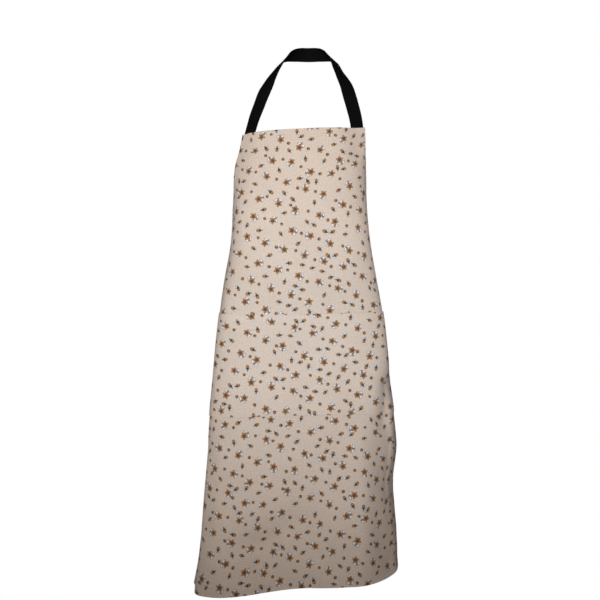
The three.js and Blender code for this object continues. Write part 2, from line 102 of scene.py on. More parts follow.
STRAP_ROWS = [  # x, y, z of the middle, az and el of the outer face
    [-111.9, -91, -141.0, -38, 12],
    [-102.8, -86, -116.0, -35, 12],
    [-93.2, -81, -90.5, -32, 14],
    [-85.0, -76, -73.4, -38, 21],
    [-77.0, -69, -56.0, -50, 35],
    [-67.0, -59, -38.4, -69, 50],
    [-54.5, -44, -19.5, -96, 58],
    [-42.0, -27, -6.5, -126, 46],
    [-23.0, -8, -0.8, -158, 24],
    [0.0, 0.73, 0.17, -180, 13],
    [23.0, -9, -0.8, -202, 24],
    [41.0, -31, -6.5, -236, 46],
    [52.0, -56, -18.6, -270, 58],
    [61.5, -76, -41.3, -303, 48],
    [70.0, -88, -59.3, -323, 32],
    [77.9, -96, -76.8, -334, 21],
    [83.0, -101, -93.9, -341, 14],
    [90.0, -106, -119.2, -339, 12],
    [96.0, -111, -144.0, -336, 12],
]

EAR_DROOP = 15.0
EAR_ROWS = [[2, 5], [24, 10], [48, 14], [70, 13], [84, 9], [89, 5], [84, 1.5], [70, 0], [48, 0], [24, 1], [2, 1]]
TAIL_ROWS = {  # x, y, z, twist
    "left": [[-3, 3, -2, 8], [-9, 5, -26, 10], [-17, 5, -70, 14], [-24, 4, -140, 20], [-28, 3, -220, 16], [-30, 2, -296, 10]],
    "right": [[4, 6, -2, -6], [12, 9, -26, -8], [20, 9, -74, -14], [26, 8, -150, -20], [29, 7, -240, -24], [33, 5, -322, -20]],
}


# ================================================================ small helpers
def smooth(v):
    c = np.clip(v, 0, 1)
    return c * c * (3 - 2 * c)


def unit(v):
    return v / np.maximum(np.linalg.norm(v, axis=-1, keepdims=True), 1e-12)


def through(keys, values, k):
    """Smooth curve through (keys, values), read at k."""
    keys, v, k = np.asarray(keys, float), np.asarray(values, float), np.atleast_1d(np.asarray(k, float))
    m = np.empty_like(v)
    m[1:-1] = (v[2:] - v[:-2]) / (keys[2:] - keys[:-2])
    m[0] = (v[1] - v[0]) / (keys[1] - keys[0])
    m[-1] = (v[-1] - v[-2]) / (keys[-1] - keys[-2])
    i = np.clip(np.searchsorted(keys, k, side="left") - 1, 0, len(keys) - 2)
    h = keys[i + 1] - keys[i]
    u = (k - keys[i]) / h
    u2, u3 = u * u, u * u * u
    return (2 * u3 - 3 * u2 + 1) * v[i] + (u3 - 2 * u2 + u) * h * m[i] + (3 * u2 - 2 * u3) * v[i + 1] + (u3 - u2) * h * m[i + 1]


# ================================================================ the hanging cloth
SEC = {n: SECTION_ROWS[:, i] for i, n in enumerate(SECTION_COLUMNS)}
DROPS = np.concatenate([[0], np.cumsum(np.hypot(np.diff(SEC["z"]), np.diff(SEC["front"])))])
LENGTH = float(DROPS[-1])
POCKET_BOTTOM = POCKET_TOP + POCKET_DEEP

QUARTER = 360
_w = np.linspace(0, 1, QUARTER + 1)[:-1]
_w = (math.pi / 2) * _w**1.5 / (_w**1.5 + (1 - _w) ** 1.5)
ANGLES = np.concatenate([-math.pi + _w, -math.pi / 2 + _w, _w, math.pi / 2 + _w, [math.pi]])
FRONT = slice(QUARTER, 3 * QUARTER + 1)


def half_width(t):
    u = np.clip(np.asarray(t, float) / ARM_DROP, 0, 1)
    return BIB_HALF + (SKIRT_HALF - BIB_HALF) * (ARM_STRAIGHT * u + (1 - ARM_STRAIGHT) * u**ARM_POWER)


def edge_lean(t):
    """Length of the slanting edge for each millimetre of drop."""
    u = np.clip(np.asarray(t, float) / ARM_DROP, 0, 1)
    m = (SKIRT_HALF - BIB_HALF) * (ARM_STRAIGHT + (1 - ARM_STRAIGHT) * ARM_POWER * u ** (ARM_POWER - 1)) / ARM_DROP
    return np.hypot(1, np.where(np.asarray(t, float) >= ARM_DROP, 0, m))


def sections(t):
    t = np.atleast_1d(np.asarray(t, float))
    row = {n: through(DROPS, SEC[n], t) for n in SECTION_COLUMNS}
    su, cu = np.sin(ANGLES)[None], np.cos(ANGLES)[None]
    p = (2 / row["square"])[:, None]
    u = np.sign(su) * np.abs(su) ** p
    v = np.sign(cu) * np.abs(cu) ** p
    v = v * np.where(cu >= 0, (row["side"] - row["front"])[:, None], (row["back"] - row["side"])[:, None])
    ct, st = np.cos(np.radians(row["turn"]))[:, None], np.sin(np.radians(row["turn"]))[:, None]
    wide, middle = (row["right"] - row["left"]) / 2, (row["right"] + row["left"]) / 2
    for _ in range(6):
        xs = middle[:, None] + wide[:, None] * u * ct - v * st
        lo, hi = xs.min(1), xs.max(1)
        wide = wide * (row["right"] - row["left"]) / (hi - lo)
        middle = middle + (row["right"] + row["left"]) / 2 - (hi + lo) / 2
    xs = middle[:, None] + wide[:, None] * u * ct - v * st
    ys = row["side"][:, None] - wide[:, None] * u * st - v * ct
    run = np.concatenate([np.zeros((len(t), 1)), np.cumsum(np.hypot(np.diff(xs, axis=1), np.diff(ys, axis=1)), axis=1)], axis=1)
    start = np.array([np.interp(row["line"][r], xs[r, FRONT], run[r, FRONT]) for r in range(len(t))])
    at = np.arange(len(t))
    return row, xs, ys, run, start, run[at, xs.argmax(1)] - start, run[at, xs.argmin(1)] - start


def hang(t, s):
    """Points of the plain hanging cloth: t (rows,), s (rows, columns) -> (rows, columns, 3)."""
    t, s = np.atleast_1d(np.asarray(t, float)), np.asarray(s, float)
    out = np.empty(s.shape + (3,))
    for a in range(0, len(t), 300):
        b = min(a + 300, len(t))
        row, xs, ys, run, start, s_right, s_left = sections(t[a:b])
        for r in range(b - a):
            along = start[r] + s[a + r]
            x, y = np.interp(along, run[r], xs[r]), np.interp(along, run[r], ys[r])
            line, left = row["line"][r], row["left"][r]
            to_left = np.where(s[a + r] <= s_left[r], 1.0, (line - x) / (line - left))
            eased = DIP_EASE * smooth((s_left[r] + 0.6 * DIP_EASE_RUN - s[a + r]) / DIP_EASE_RUN)
            to_right = np.clip(s[a + r] / s_right[r], 0, LIFT_PAST)
            z = (row["z"][r] + row["rise"][r] * (x - line) - row["dip"][r] * (smooth(to_left / DIP_REACH) - eased)
                 + row["lift"][r] * to_right ** LIFT_POWER)
            out[a + r, :, 0], out[a + r, :, 1], out[a + r, :, 2] = x, y, z
    return out


def fold_height(t, s):
    total = np.zeros_like(s)
    for s0, t0, s1, t1, reach, height in FOLD_ROWS:
        ds, dt = s1 - s0, t1 - t0
        k = np.clip(((s - s0) * ds + (t - t0) * dt) / (ds * ds + dt * dt), 0, 1)
        away = np.hypot(s - s0 - k * ds, t - t0 - k * dt) / reach
        total += height * np.exp(-away * away)
    return total


# slack of the weave: a few long, low waves that run mostly down the cloth
_waves = [(RNG.uniform(30, 110), RNG.normal(0, 0.35), RNG.uniform(0, 2 * math.pi), RNG.uniform(0.5, 1.0)) for _ in range(22)]


def slack(t, s):
    f = np.zeros_like(s)
    for length, lean, phase, amount in _waves:
        k = 2 * math.pi / length
        f += amount * (length / 110) * np.sin(k * (s * math.cos(lean) + t * math.sin(lean)) + phase)
    return f * (0.10 + 0.22 * smooth((t - 480) / 400))


def edge_distance(t, s):
    side = (half_width(t) - np.abs(s)) / edge_lean(t)
    return side, t, LENGTH - t


def pucker(t, s):
    """Small drawn waves along the stitched hems."""
    side, top, bottom = edge_distance(t, s)
    f = np.zeros_like(s)
    for d, along in ((side, t), (top, s), (bottom, s)):
        near = np.exp(-(((d - 9.0) / 6.5) ** 2))
        f += near * (0.20 * np.sin(along * 2 * math.pi / 11.3 + 1.3 * np.sin(along / 37.0))
                     + 0.14 * np.sin(along * 2 * math.pi / 17.9 + 2.1 * np.sin(along / 53.0)))
    return f


def grid_normals(p):
    across, down = np.gradient(p, axis=1), np.gradient(p, axis=0)
    return unit(np.cross(down, across))


def sheet_points(t, s):
    """Middle of the cloth and its outward normal on a grid."""
    tt = np.broadcast_to(t[:, None], s.shape)
    base = hang(t, s)
    n = grid_normals(base)
    p = base + n * (fold_height(tt, s) + slack(tt, s) + pucker(tt, s))[..., None]
    return p, grid_normals(p)


def at_points(t, s):
    """The same at single points."""
    t, s = np.asarray(t, float), np.asarray(s, float)
    h = 1.5

    def mid(tq, sq):
        hs = 1.0
        c = hang(tq, sq[:, None])[:, 0]
        a = hang(tq, (sq + hs)[:, None])[:, 0] - hang(tq, (sq - hs)[:, None])[:, 0]
        d = hang(tq + hs, sq[:, None])[:, 0] - hang(tq - hs, sq[:, None])[:, 0]
        n0 = unit(np.cross(d, a))
        return c + n0 * (fold_height(tq, sq) + slack(tq, sq) + pucker(tq, sq))[:, None]

    p = mid(t, s)
    across = mid(t, s + h) - mid(t, s - h)
    down = mid(t + h, s) - mid(t - h, s)
    return p, unit(np.cross(down, across)), unit(across), unit(down)


# ================================================================ mesh making
ROOT_PIECES = []


def make_object(name, verts, quads, uvs=None, mats=(), mat_index=None, sharp=None, tris=None):
    """verts in mm; quads (n, 4); uvs (n, 4, 2) in metres."""
    mesh = bpy.data.meshes.new(name)
    faces = [tuple(q) for q in np.asarray(quads).tolist()]
    if tris is not None and len(tris):
        faces += [tuple(q) for q in np.asarray(tris).tolist()]
    mesh.from_pydata((np.asarray(verts, float) * MM).tolist(), [], faces)
    for m in mats:
        mesh.materials.append(m)
    if uvs is not None:
        layer = mesh.uv_layers.new(name="flat")
        flat = np.asarray(uvs, float).reshape(-1, 2)
        need = len(mesh.loops)
        if len(flat) < need:
            flat = np.concatenate([flat, np.zeros((need - len(flat), 2))])
        layer.data.foreach_set("uv", flat.astype(np.float32).ravel())
    if mat_index is not None:
        full = np.zeros(len(mesh.polygons), np.int32)
        full[: len(mat_index)] = mat_index
        mesh.polygons.foreach_set("material_index", full)
    mesh.polygons.foreach_set("use_smooth", np.ones(len(mesh.polygons), bool))
    mesh.update()
    if sharp:
        mesh.set_sharp_from_angle(angle=math.radians(sharp))
    obj = bpy.data.objects.new(name, mesh)
    bpy.context.scene.collection.objects.link(obj)
    return obj


def shell(name, outer, inner, uv_out, uv_in, rim_dirs, mats, inner_mat, steps=4, sharp=55):
    """Closed cloth between two grids, with a rounded rim. uv_* are (rows, columns, 2); inner_mat (rows-1, columns-1)."""
    rows, cols = outer.shape[:2]
    verts = [outer.reshape(-1, 3), inner.reshape(-1, 3)]
    idx = np.arange(rows * cols).reshape(rows, cols)
    jdx = idx + rows * cols
    q_out = np.stack([idx[:-1, :-1], idx[1:, :-1], idx[1:, 1:], idx[:-1, 1:]], -1).reshape(-1, 4)
    q_in = np.stack([jdx[:-1, :-1], jdx[:-1, 1:], jdx[1:, 1:], jdx[1:, :-1]], -1).reshape(-1, 4)
    u_out = np.stack([uv_out[:-1, :-1], uv_out[1:, :-1], uv_out[1:, 1:], uv_out[:-1, 1:]], 2).reshape(-1, 4, 2)
    u_in = np.stack([uv_in[:-1, :-1], uv_in[:-1, 1:], uv_in[1:, 1:], uv_in[1:, :-1]], 2).reshape(-1, 4, 2)
    loop = [(0, c) for c in range(cols - 1)] + [(r, cols - 1) for r in range(rows - 1)]
    loop += [(rows - 1, c) for c in range(cols - 1, 0, -1)] + [(r, 0) for r in range(rows - 1, 0, -1)]
    lr, lc = np.array(loop).T
    po, pi, e, uv = outer[lr, lc], inner[lr, lc], rim_dirs[lr, lc], uv_out[lr, lc]
    mid, arm = (po + pi) / 2, (po - pi) / 2
    radius = np.linalg.norm(arm, axis=1, keepdims=True)
    rings = [idx[lr, lc]]
    count = 2 * rows * cols
    for k in range(1, steps):
        a = math.pi / 2 - math.pi * k / steps
        verts.append(mid + math.cos(a) * radius * e + math.sin(a) * arm)
        rings.append(np.arange(count, count + len(loop)))
        count += len(loop)
    rings.append(jdx[lr, lc])
    q_rim, u_rim = [], []
    nxt = np.roll(np.arange(len(loop)), -1)
    for a, b in zip(rings[:-1], rings[1:]):
        q_rim.append(np.stack([a, a[nxt], b[nxt], b], -1))
        u_rim.append(np.stack([uv, uv[nxt], uv[nxt], uv], 1))
    quads = np.concatenate([q_out, q_in] + q_rim)
    uvs = np.concatenate([u_out, u_in] + u_rim)
    mat = np.concatenate([np.zeros(len(q_out), int), inner_mat.reshape(-1), np.zeros(sum(map(len, q_rim)), int)])
    return make_object(name, np.concatenate(verts), quads, uvs, mats, mat, sharp)


def rim_directions(p):
    """In-surface direction pointing off the cloth at the border of a grid."""
    across, down = unit(np.gradient(p, axis=1)), unit(np.gradient(p, axis=0))
    e = np.zeros_like(p)
    e[:, 0] -= across[:, 0]
    e[:, -1] += across[:, -1]
    e[0] -= down[0]
    e[-1] += down[-1]
    return unit(e)


def ribbon(points, across, normal, wide, thick, cup=None, edge_wave=0.0, run0=0.0, lead=11, seed=3):
    """Flat webbing: closed section swept along points. Returns verts, quads, uvs, tris."""
    n = len(points)
    wide = np.broadcast_to(np.asarray(wide, float), (n,))
    thick = np.broadcast_to(np.asarray(thick, float), (n,))
    cup = np.zeros(n) if cup is None else np.broadcast_to(np.asarray(cup, float), (n,))
    xs = np.linspace(-1, 1, lead)
    run = np.concatenate([[0], np.cumsum(np.linalg.norm(np.diff(points, axis=0), axis=1))]) + run0
    wave = edge_wave * (np.sin(run / 4.1 + seed) + 0.7 * np.sin(run / 9.7 + 2 * seed))
    # section: outer face left to right, round edge, inner face right to left, round edge
    prof = [(x, 1.0, 0.0) for x in xs]
    prof += [(1.0, math.sin(a), math.cos(a)) for a in (math.radians(50), 0.0, math.radians(-50))]
    prof += [(x, -1.0, 0.0) for x in xs[::-1]]
    prof += [(-1.0, -math.sin(a), -math.cos(a)) for a in (math.radians(50), 0.0, math.radians(-50))]
    prof = np.array(prof)
    k = len(prof)
    half_w = (wide / 2 - thick / 2)[:, None]
    x = prof[None, :, 0] * (half_w + wave[:, None] * np.abs(prof[None, :, 0])) + prof[None, :, 2] * (thick / 2)[:, None]
    y = prof[None, :, 1] * (thick / 2)[:, None] - cup[:, None] * (prof[None, :, 0] ** 2)
    verts = points[:, None] + across[:, None] * x[..., None] + normal[:, None] * y[..., None]
    idx = np.arange(n * k).reshape(n, k)
    nx = np.roll(np.arange(k), -1)
    quads = np.stack([idx[:-1][:, nx], idx[:-1], idx[1:], idx[1:][:, nx]], -1).reshape(-1, 4)
    # across coordinate runs on round the section, so that no face of it is stretched
    ring = np.concatenate([[0], np.cumsum(np.linalg.norm(np.diff(np.stack([x[n // 2], y[n // 2]], -1), axis=0), axis=1))])
    close = ring[-1] + np.linalg.norm(np.array([x[n // 2, 0] - x[n // 2, -1], y[n // 2, 0] - y[n // 2, -1]]))
    ua = ring - WEB_WIDE / 2
    ub = np.concatenate([ua[1:], [close - WEB_WIDE / 2]])
    va = run
    u4 = np.stack([
        np.stack(np.broadcast_arrays(ub[None], va[:-1, None]), -1),
        np.stack(np.broadcast_arrays(ua[None], va[:-1, None]), -1),
        np.stack(np.broadcast_arrays(ua[None], va[1:, None]), -1),
        np.stack(np.broadcast_arrays(ub[None], va[1:, None]), -1),
    ], 2).reshape(-1, 4, 2) * MM
    # ends closed by strips between the two faces
    caps, cuv = [], []
    for end, flip in ((0, False), (n - 1, True)):
        ring_i = idx[end]
        order = list(range(k))
        lo, hi = 0, k - 1
        left = order[:k // 2 + 1]
        # outer face points 0..lead-1, edge, inner face
        for j in range(lead - 1):
            a, b = ring_i[j], ring_i[j + 1]
            c, d = ring_i[lead + 3 + (lead - 1 - j) - 1], ring_i[lead + 3 + (lead - 1 - j)]
            q = [a, b, c, d]
            caps.append(q if not flip else q[::-1])
            cuv.append([[xs[j] * WEB_WIDE / 2 * MM, va[end] * MM]] * 4)
        for j0, j1, j2, j3, j4 in ((lead - 1, lead, lead + 1, lead + 2, lead + 3),):
            caps.append(([ring_i[j0], ring_i[j1], ring_i[j3], ring_i[j4]]) if not flip else ([ring_i[j4], ring_i[j3], ring_i[j1], ring_i[j0]]))
            cuv.append([[0.0125, va[end] * MM]] * 4)
        e0 = 2 * lead + 3
        a, b, c, d = ring_i[e0 - 1], ring_i[e0], ring_i[e0 + 2], ring_i[0]
        caps.append([a, b, c, d] if not flip else [d, c, b, a])
        cuv.append([[-0.0125, va[end] * MM]] * 4)
    tris = []
    for end, flip in ((0, False), (n - 1, True)):
        ring_i = idx[end]
        e0 = 2 * lead + 3
        for a, b, c in ((lead, lead + 1, lead + 2), (e0, e0 + 1, e0 + 2)):
            t3 = [ring_i[a], ring_i[b], ring_i[c]]
            tris.append(t3 if not flip else t3[::-1])
    quads = np.concatenate([quads, np.array(caps)])
    uvs = np.concatenate([u4, np.array(cuv)])
    return verts.reshape(-1, 3), quads, uvs, np.array(tris)


def join(parts):
    """Joins (verts, quads, uvs, tris) sets into one."""
    vs, qs, us, ts, base = [], [], [], [], 0
    for v, q, u, t in parts:
        vs.append(v)
        qs.append(q + base)
        us.append(u)
        if len(t):
            ts.append(t + base)
        base += len(v)
    return np.concatenate(vs), np.concatenate(qs), np.concatenate(us), (np.concatenate(ts) if ts else np.zeros((0, 3), int))


def curve_through(points, count):
    """Smooth curve through points, evenly spaced along its length."""
    p = np.asarray(points, float)
    keys = np.concatenate([[0], np.cumsum(np.sqrt(np.linalg.norm(np.diff(p, axis=0), axis=1)))])
    k = np.linspace(0, keys[-1], 1500)
    fine = np.stack([through(keys, p[:, i], k) for i in range(3)], 1)
    run = np.concatenate([[0], np.cumsum(np.linalg.norm(np.diff(fine, axis=0), axis=1))])
    ke = np.interp(np.linspace(0, run[-1], count), run, k)
    return np.stack([through(keys, p[:, i], ke) for i in range(3)], 1), ke, keys, run[-1]


def stitch_mesh(p, along, n, length, radius, lift=0.12):
    """One short thread over the cloth at each point, its ends sunk in."""
    sides = 5
    pos = np.array([-0.5, -0.3, 0.0, 0.3, 0.5]) * length
    rad = np.array([0.45, 0.9, 1.0, 0.9, 0.45]) * radius
    high = np.array([-0.6, 0.35, 0.6, 0.35, -0.6]) * radius + lift
    side = unit(np.cross(n, along))
    ang = np.linspace(0, 2 * math.pi, sides, endpoint=False)
    c = p[:, None] + along[:, None] * pos[None, :, None] + n[:, None] * high[None, :, None]
    ring = (np.cos(ang)[None, None, :, None] * side[:, None, None] + np.sin(ang)[None, None, :, None] * n[:, None, None])
    v = c[:, :, None] + ring * rad[None, :, None, None]
    m, k = len(p), len(pos)
    idx = np.arange(m * k * sides).reshape(m, k, sides)
    nx = np.roll(np.arange(sides), -1)
    q = np.stack([idx[:, :-1], idx[:, :-1][..., nx], idx[:, 1:][..., nx], idx[:, 1:]], -1).reshape(-1, 4)
    uv = np.zeros((m, k - 1, sides, 4, 2))
    vv = pos / length
    for j in range(k - 1):
        uv[:, j, :, 0, 1] = uv[:, j, :, 1, 1] = vv[j]
        uv[:, j, :, 2, 1] = uv[:, j, :, 3, 1] = vv[j + 1]
    uv[..., 0] = np.arange(m)[:, None, None, None] * 0.37 + np.arange(sides)[None, None, :, None] / sides
    t0 = np.stack([np.broadcast_to(idx[:, 0, :1], (m, sides - 2)), idx[:, 0, 2:], idx[:, 0, 1:-1]], -1).reshape(-1, 3)
    t1 = np.stack([np.broadcast_to(idx[:, -1, :1], (m, sides - 2)), idx[:, -1, 1:-1], idx[:, -1, 2:]], -1).reshape(-1, 3)
    return v.reshape(-1, 3), q, uv.reshape(-1, 4, 2), np.concatenate([t0, t1])


# ================================================================ materials
class Graph:
    """Short way of writing node trees."""

    def __init__(self, name):
        self.mat = bpy.data.materials.new(name)
        self.mat.use_nodes = True
        self.tree = self.mat.node_tree
        self.tree.nodes.clear()
        self.out = self.tree.nodes.new("ShaderNodeOutputMaterial")
        self.bsdf = self.tree.nodes.new("ShaderNodeBsdfPrincipled")
        self.tree.links.new(self.bsdf.outputs[0], self.out.inputs[0])

    def put(self, socket, value):
        if isinstance(value, bpy.types.NodeSocket):
            self.tree.links.new(value, socket)
        elif value is not None:
            socket.default_value = value

    def node(self, kind, **props):
        n = self.tree.nodes.new(kind)
        for k, v in props.items():
            setattr(n, k, v)
        return n

    def math(self, op, a, b=None, c=None, clamp=False):
        n = self.node("ShaderNodeMath", operation=op, use_clamp=clamp)
        for i, v in enumerate((a, b, c)):
            self.put(n.inputs[i], v)
        return n.outputs[0]

    def add(self, a, b): return self.math("ADD", a, b)
    def sub(self, a, b): return self.math("SUBTRACT", a, b)
    def mul(self, a, b): return self.math("MULTIPLY", a, b)

    def vmath(self, op, a, b=None, scale=None):
        n = self.node("ShaderNodeVectorMath", operation=op)
        self.put(n.inputs[0], a)
        if b is not None:
            self.put(n.inputs[1], b)
        if scale is not None:
            self.put(n.inputs["Scale"], scale)
        return n.outputs[0]

    def xyz(self, v):
        n = self.node("ShaderNodeSeparateXYZ")
        self.put(n.inputs[0], v)
        return n.outputs[0], n.outputs[1], n.outputs[2]

    def vec(self, x, y, z=0.0):
        n = self.node("ShaderNodeCombineXYZ")
        for i, v in enumerate((x, y, z)):
            self.put(n.inputs[i], v)
        return n.outputs[0]

    def step(self, v, lo, hi, a=0.0, b=1.0):
        """Smooth step of v from lo to hi, giving a to b."""
        n = self.node("ShaderNodeMapRange", interpolation_type="SMOOTHSTEP")
        for i, x in enumerate((v, lo, hi, a, b)):
            self.put(n.inputs[i], x)
        return n.outputs[0]

    def mix(self, f, a, b, blend="MIX"):
        n = self.node("ShaderNodeMix", data_type="RGBA", blend_type=blend, clamp_factor=True)
        self.put(n.inputs[0], f)
        self.put(n.inputs[6], a if isinstance(a, bpy.types.NodeSocket) else (*a, 1.0))
        self.put(n.inputs[7], b if isinstance(b, bpy.types.NodeSocket) else (*b, 1.0))
        return n.outputs[2]

    def noise(self, v, scale=1.0, detail=2.0, rough=0.5, dims="2D"):
        n = self.node("ShaderNodeTexNoise", noise_dimensions=dims)
        self.put(n.inputs["Vector"], v)
        n.inputs["Scale"].default_value = scale
        n.inputs["Detail"].default_value = detail
        n.inputs["Roughness"].default_value = rough
        return n.outputs[0]

    def uv(self):
        n = self.node("ShaderNodeUVMap", uv_map="flat")
        return n.outputs[0]

    def bump(self, height, distance, strength=1.0):
        n = self.node("ShaderNodeBump")
        n.inputs["Strength"].default_value = strength
        n.inputs["Distance"].default_value = distance
        self.put(n.inputs["Height"], height)
        self.tree.links.new(n.outputs[0], self.bsdf.inputs["Normal"])


AMBER, AMBER_DEEP = (0.54, 0.230, 0.042), (0.31, 0.110, 0.020)
BROWN, PALE, STEEL = (0.050, 0.038, 0.032), (0.80, 0.80, 0.83), (0.10, 0.105, 0.12)
PRINT_CELL, PRINT_ANGLE, PRINT_LOOSE = 42.0, 0.35, 0.26   # mm, radians and share: lattice of the print


def canvas_material(name, print_amount, shift, tone=1.0):
    """Natural cotton canvas. print_amount fades the print, as on the back of the cloth; shift moves it (mm);
    tone scales how light the cloth is."""
    g = Graph(name)
    mm = g.vmath("SCALE", g.uv(), scale=1000.0)
    x, y, _ = g.xyz(mm)

    # threads: two sets of cylinders that pass over and under each other, with slubs along them
    warp_n = g.noise(g.vec(g.mul(x, 1.25), g.mul(y, 0.030)), detail=2)
    weft_n = g.noise(g.vec(g.mul(x, 0.026), g.mul(y, 1.18)), detail=2)
    pitch = 0.92
    px, py = g.mul(x, math.pi / pitch), g.mul(y, math.pi / pitch)
    sx, sy = g.math("SINE", px), g.math("SINE", py)
    cx = g.math("COSINE", px)
    cy = g.math("COSINE", py)
    over = g.step(g.mul(cx, cy), -0.35, 0.35)
    warp_h, weft_h = g.math("ABSOLUTE", sx), g.math("ABSOLUTE", sy)
    weave = g.add(g.mul(warp_h, over), g.mul(weft_h, g.sub(1.0, over)))
    slub = g.add(g.mul(g.step(warp_n, 0.42, 0.78), over), g.mul(g.step(weft_n, 0.42, 0.80), g.sub(1.0, over)))

    # colour of the bare cloth, with painted shade in the low places of the weave
    broad = g.noise(mm, scale=0.011, detail=3)
    base = g.mix(g.step(broad, 0.3, 0.7), (0.664, 0.549, 0.454), (0.691, 0.576, 0.481))
    mottle = g.noise(mm, scale=0.46, detail=3, rough=0.66)
    shade = g.step(mottle, 0.30, 0.70, 0.82 * tone, 1.15 * tone)
    base = g.mix(1.0, base, g.vec(shade, shade, shade), "MULTIPLY")
    yarn = g.step(g.noise(g.vec(g.mul(x, 0.56), g.mul(y, 0.46)), detail=1.0), 0.30, 0.70)
    base = g.mix(1.0, base, g.mix(yarn, (0.90, 1.012, 1.22), (1.10, 0.988, 0.80)), "MULTIPLY")
    base = g.mix(g.mul(g.step(warp_n, 0.45, 0.75), 0.26), base, (0.560, 0.440, 0.345))
    base = g.mix(g.mul(g.step(weft_n, 0.47, 0.78), 0.24), base, (0.775, 0.680, 0.590))
    fleck = g.noise(g.vec(g.mul(x, 0.42), g.mul(y, 0.95)), scale=1.0, detail=1.0)
    base = g.mix(g.mul(g.step(fleck, 0.735, 0.80), 0.55), base, (0.30, 0.205, 0.135))
    # painted shade: the cloth is made darker where the weave is low, between the threads
    pit_shade = g.step(weave, 0.05, 0.55, 0.86, 1.0)
    base = g.mix(1.0, base, g.vec(pit_shade, pit_shade, pit_shade), "MULTIPLY")

    # print: blossoms, buds and berries, tossed over one loose lattice, each kind on its own places and turned at random
    field = g.vmath("ADD", mm, (shift[0], shift[1], 0.0))
    there = g.node("ShaderNodeVectorRotate", rotation_type="Z_AXIS")
    g.put(there.inputs["Vector"], field)
    there.inputs["Angle"].default_value = PRINT_ANGLE
    lattice = g.vmath("SCALE", there.outputs[0], scale=1.0 / PRINT_CELL)

    def scatter(place):
        """Middle of the nearest motif (mm) and three random numbers."""
        n = g.node("ShaderNodeTexVoronoi", voronoi_dimensions="2D", feature="F1")
        g.put(n.inputs["Vector"], g.vmath("ADD", lattice, (*place, 0.0)))
        n.inputs["Scale"].default_value = 1.0
        n.inputs["Randomness"].default_value = PRINT_LOOSE
        back = g.node("ShaderNodeVectorRotate", rotation_type="Z_AXIS")
        g.put(back.inputs["Vector"], g.vmath("SCALE", g.vmath("SUBTRACT", n.outputs["Position"], (*place, 0.0)), scale=PRINT_CELL))
        back.inputs["Angle"].default_value = -PRINT_ANGLE
        dice = g.node("ShaderNodeSeparateColor")
        g.put(dice.inputs[0], n.outputs["Color"])
        return back.outputs[0], dice.outputs

    wob = g.vmath("SCALE", g.vmath("SUBTRACT", g.vec(warp_n, weft_n), (0.5, 0.5, 0.0)), scale=0.5)

    def motif_axes(centre, dice, grow):
        """Coordinates in a motif's own frame, in mm."""
        spin = g.node("ShaderNodeVectorRotate", rotation_type="Z_AXIS")
        g.put(spin.inputs["Vector"], g.vmath("ADD", g.vmath("SUBTRACT", field, centre), wob))
        g.put(spin.inputs["Angle"], g.mul(dice[0], 2 * math.pi))
        size = g.add(1.0 / grow[1], g.mul(dice[1], 1.0 / grow[0] - 1.0 / grow[1]))
        return g.xyz(g.vmath("SCALE", spin.outputs[0], scale=size))[:2]

    def ellipse(q, cx_, cy_, ax, ay, ang=0.0, soft=0.5):
        """1 inside a turned ellipse, and its level (1 on the outline)."""
        c, s_ = math.cos(math.radians(ang)), math.sin(math.radians(ang))
        dx, dy = g.sub(q[0], cx_), g.sub(q[1], cy_)
        ex = g.mul(g.add(g.mul(dx, c), g.mul(dy, s_)), 1 / ax)
        ey = g.mul(g.add(g.mul(dx, -s_), g.mul(dy, c)), 1 / ay)
        lev = g.math("SQRT", g.add(g.mul(ex, ex), g.mul(ey, ey)))
        k = soft / (2 * min(ax, ay))
        return g.step(lev, 1.0 - k, 1.0 + k, 1.0, 0.0), lev

    def stroke(q, x0, y0, x1, y1, w):
        """1 on a straight stroke."""
        dx, dy = x1 - x0, y1 - y0
        k = g.math("MULTIPLY", g.add(g.mul(g.sub(q[0], x0), dx), g.mul(g.sub(q[1], y0), dy)), 1 / (dx * dx + dy * dy), clamp=True)
        ax = g.sub(g.sub(q[0], x0), g.mul(k, dx))
        ay = g.sub(g.sub(q[1], y0), g.mul(k, dy))
        d = g.math("SQRT", g.add(g.mul(ax, ax), g.mul(ay, ay)))
        return g.step(d, w * 0.7, w * 1.3, 1.0, 0.0)

    def lay(items):
        """Inks laid over each other: colour and cover."""
        col, cover = g.mix(0.0, BROWN, BROWN), 0.0
        for mask, ink in items:
            col, cover = g.mix(mask, col, ink), g.math("MAXIMUM", cover, mask)
        return col, cover

    def leaf(q, *shape):
        mask, lev = ellipse(q, *shape)
        return mask, g.mix(g.step(lev, 0.62, 0.84), PALE, STEEL)

    c_big, d_big = scatter((0.0, 0.0))
    c_mid, d_mid = scatter((37.5, 11.5))
    c_small, d_small = scatter((71.5, 23.0))
    c_more, d_more = scatter((19.0, 53.5))

    # blossom of five petals on a short stalk with two leaves
    q = motif_axes(c_big, d_big, (1.20, 1.34))
    fx, fy = q[0], g.sub(q[1], 1.5)
    rho = g.math("SQRT", g.add(g.mul(fx, fx), g.mul(fy, fy)))
    phi5 = g.math("COSINE", g.mul(g.math("ARCTAN2", fy, fx), 5.0))
    petal_edge = g.add(4.75, g.mul(phi5, 1.15))
    past = g.sub(rho, petal_edge)
    big = lay([
        (stroke(q, 0.0, 0.0, 0.7, -7.4, 0.55), BROWN),
        leaf(q, -3.3, -4.2, 3.5, 1.75, -40),
        leaf(q, 3.7, -4.4, 3.3, 1.7, 38),
        (g.step(past, -0.35, 0.35, 1.0, 0.0), BROWN),
        (g.mul(g.step(past, -1.05, -0.65, 1.0, 0.0), g.step(phi5, -0.98, -0.72)),
         g.mix(g.step(rho, 2.2, 3.6), AMBER_DEEP, AMBER)),
        (g.step(rho, 2.1, 2.6, 1.0, 0.0), BROWN),
        (g.mul(g.step(rho, 0.5, 0.9, 1.0, 0.0), 0.7), AMBER_DEEP),
    ])
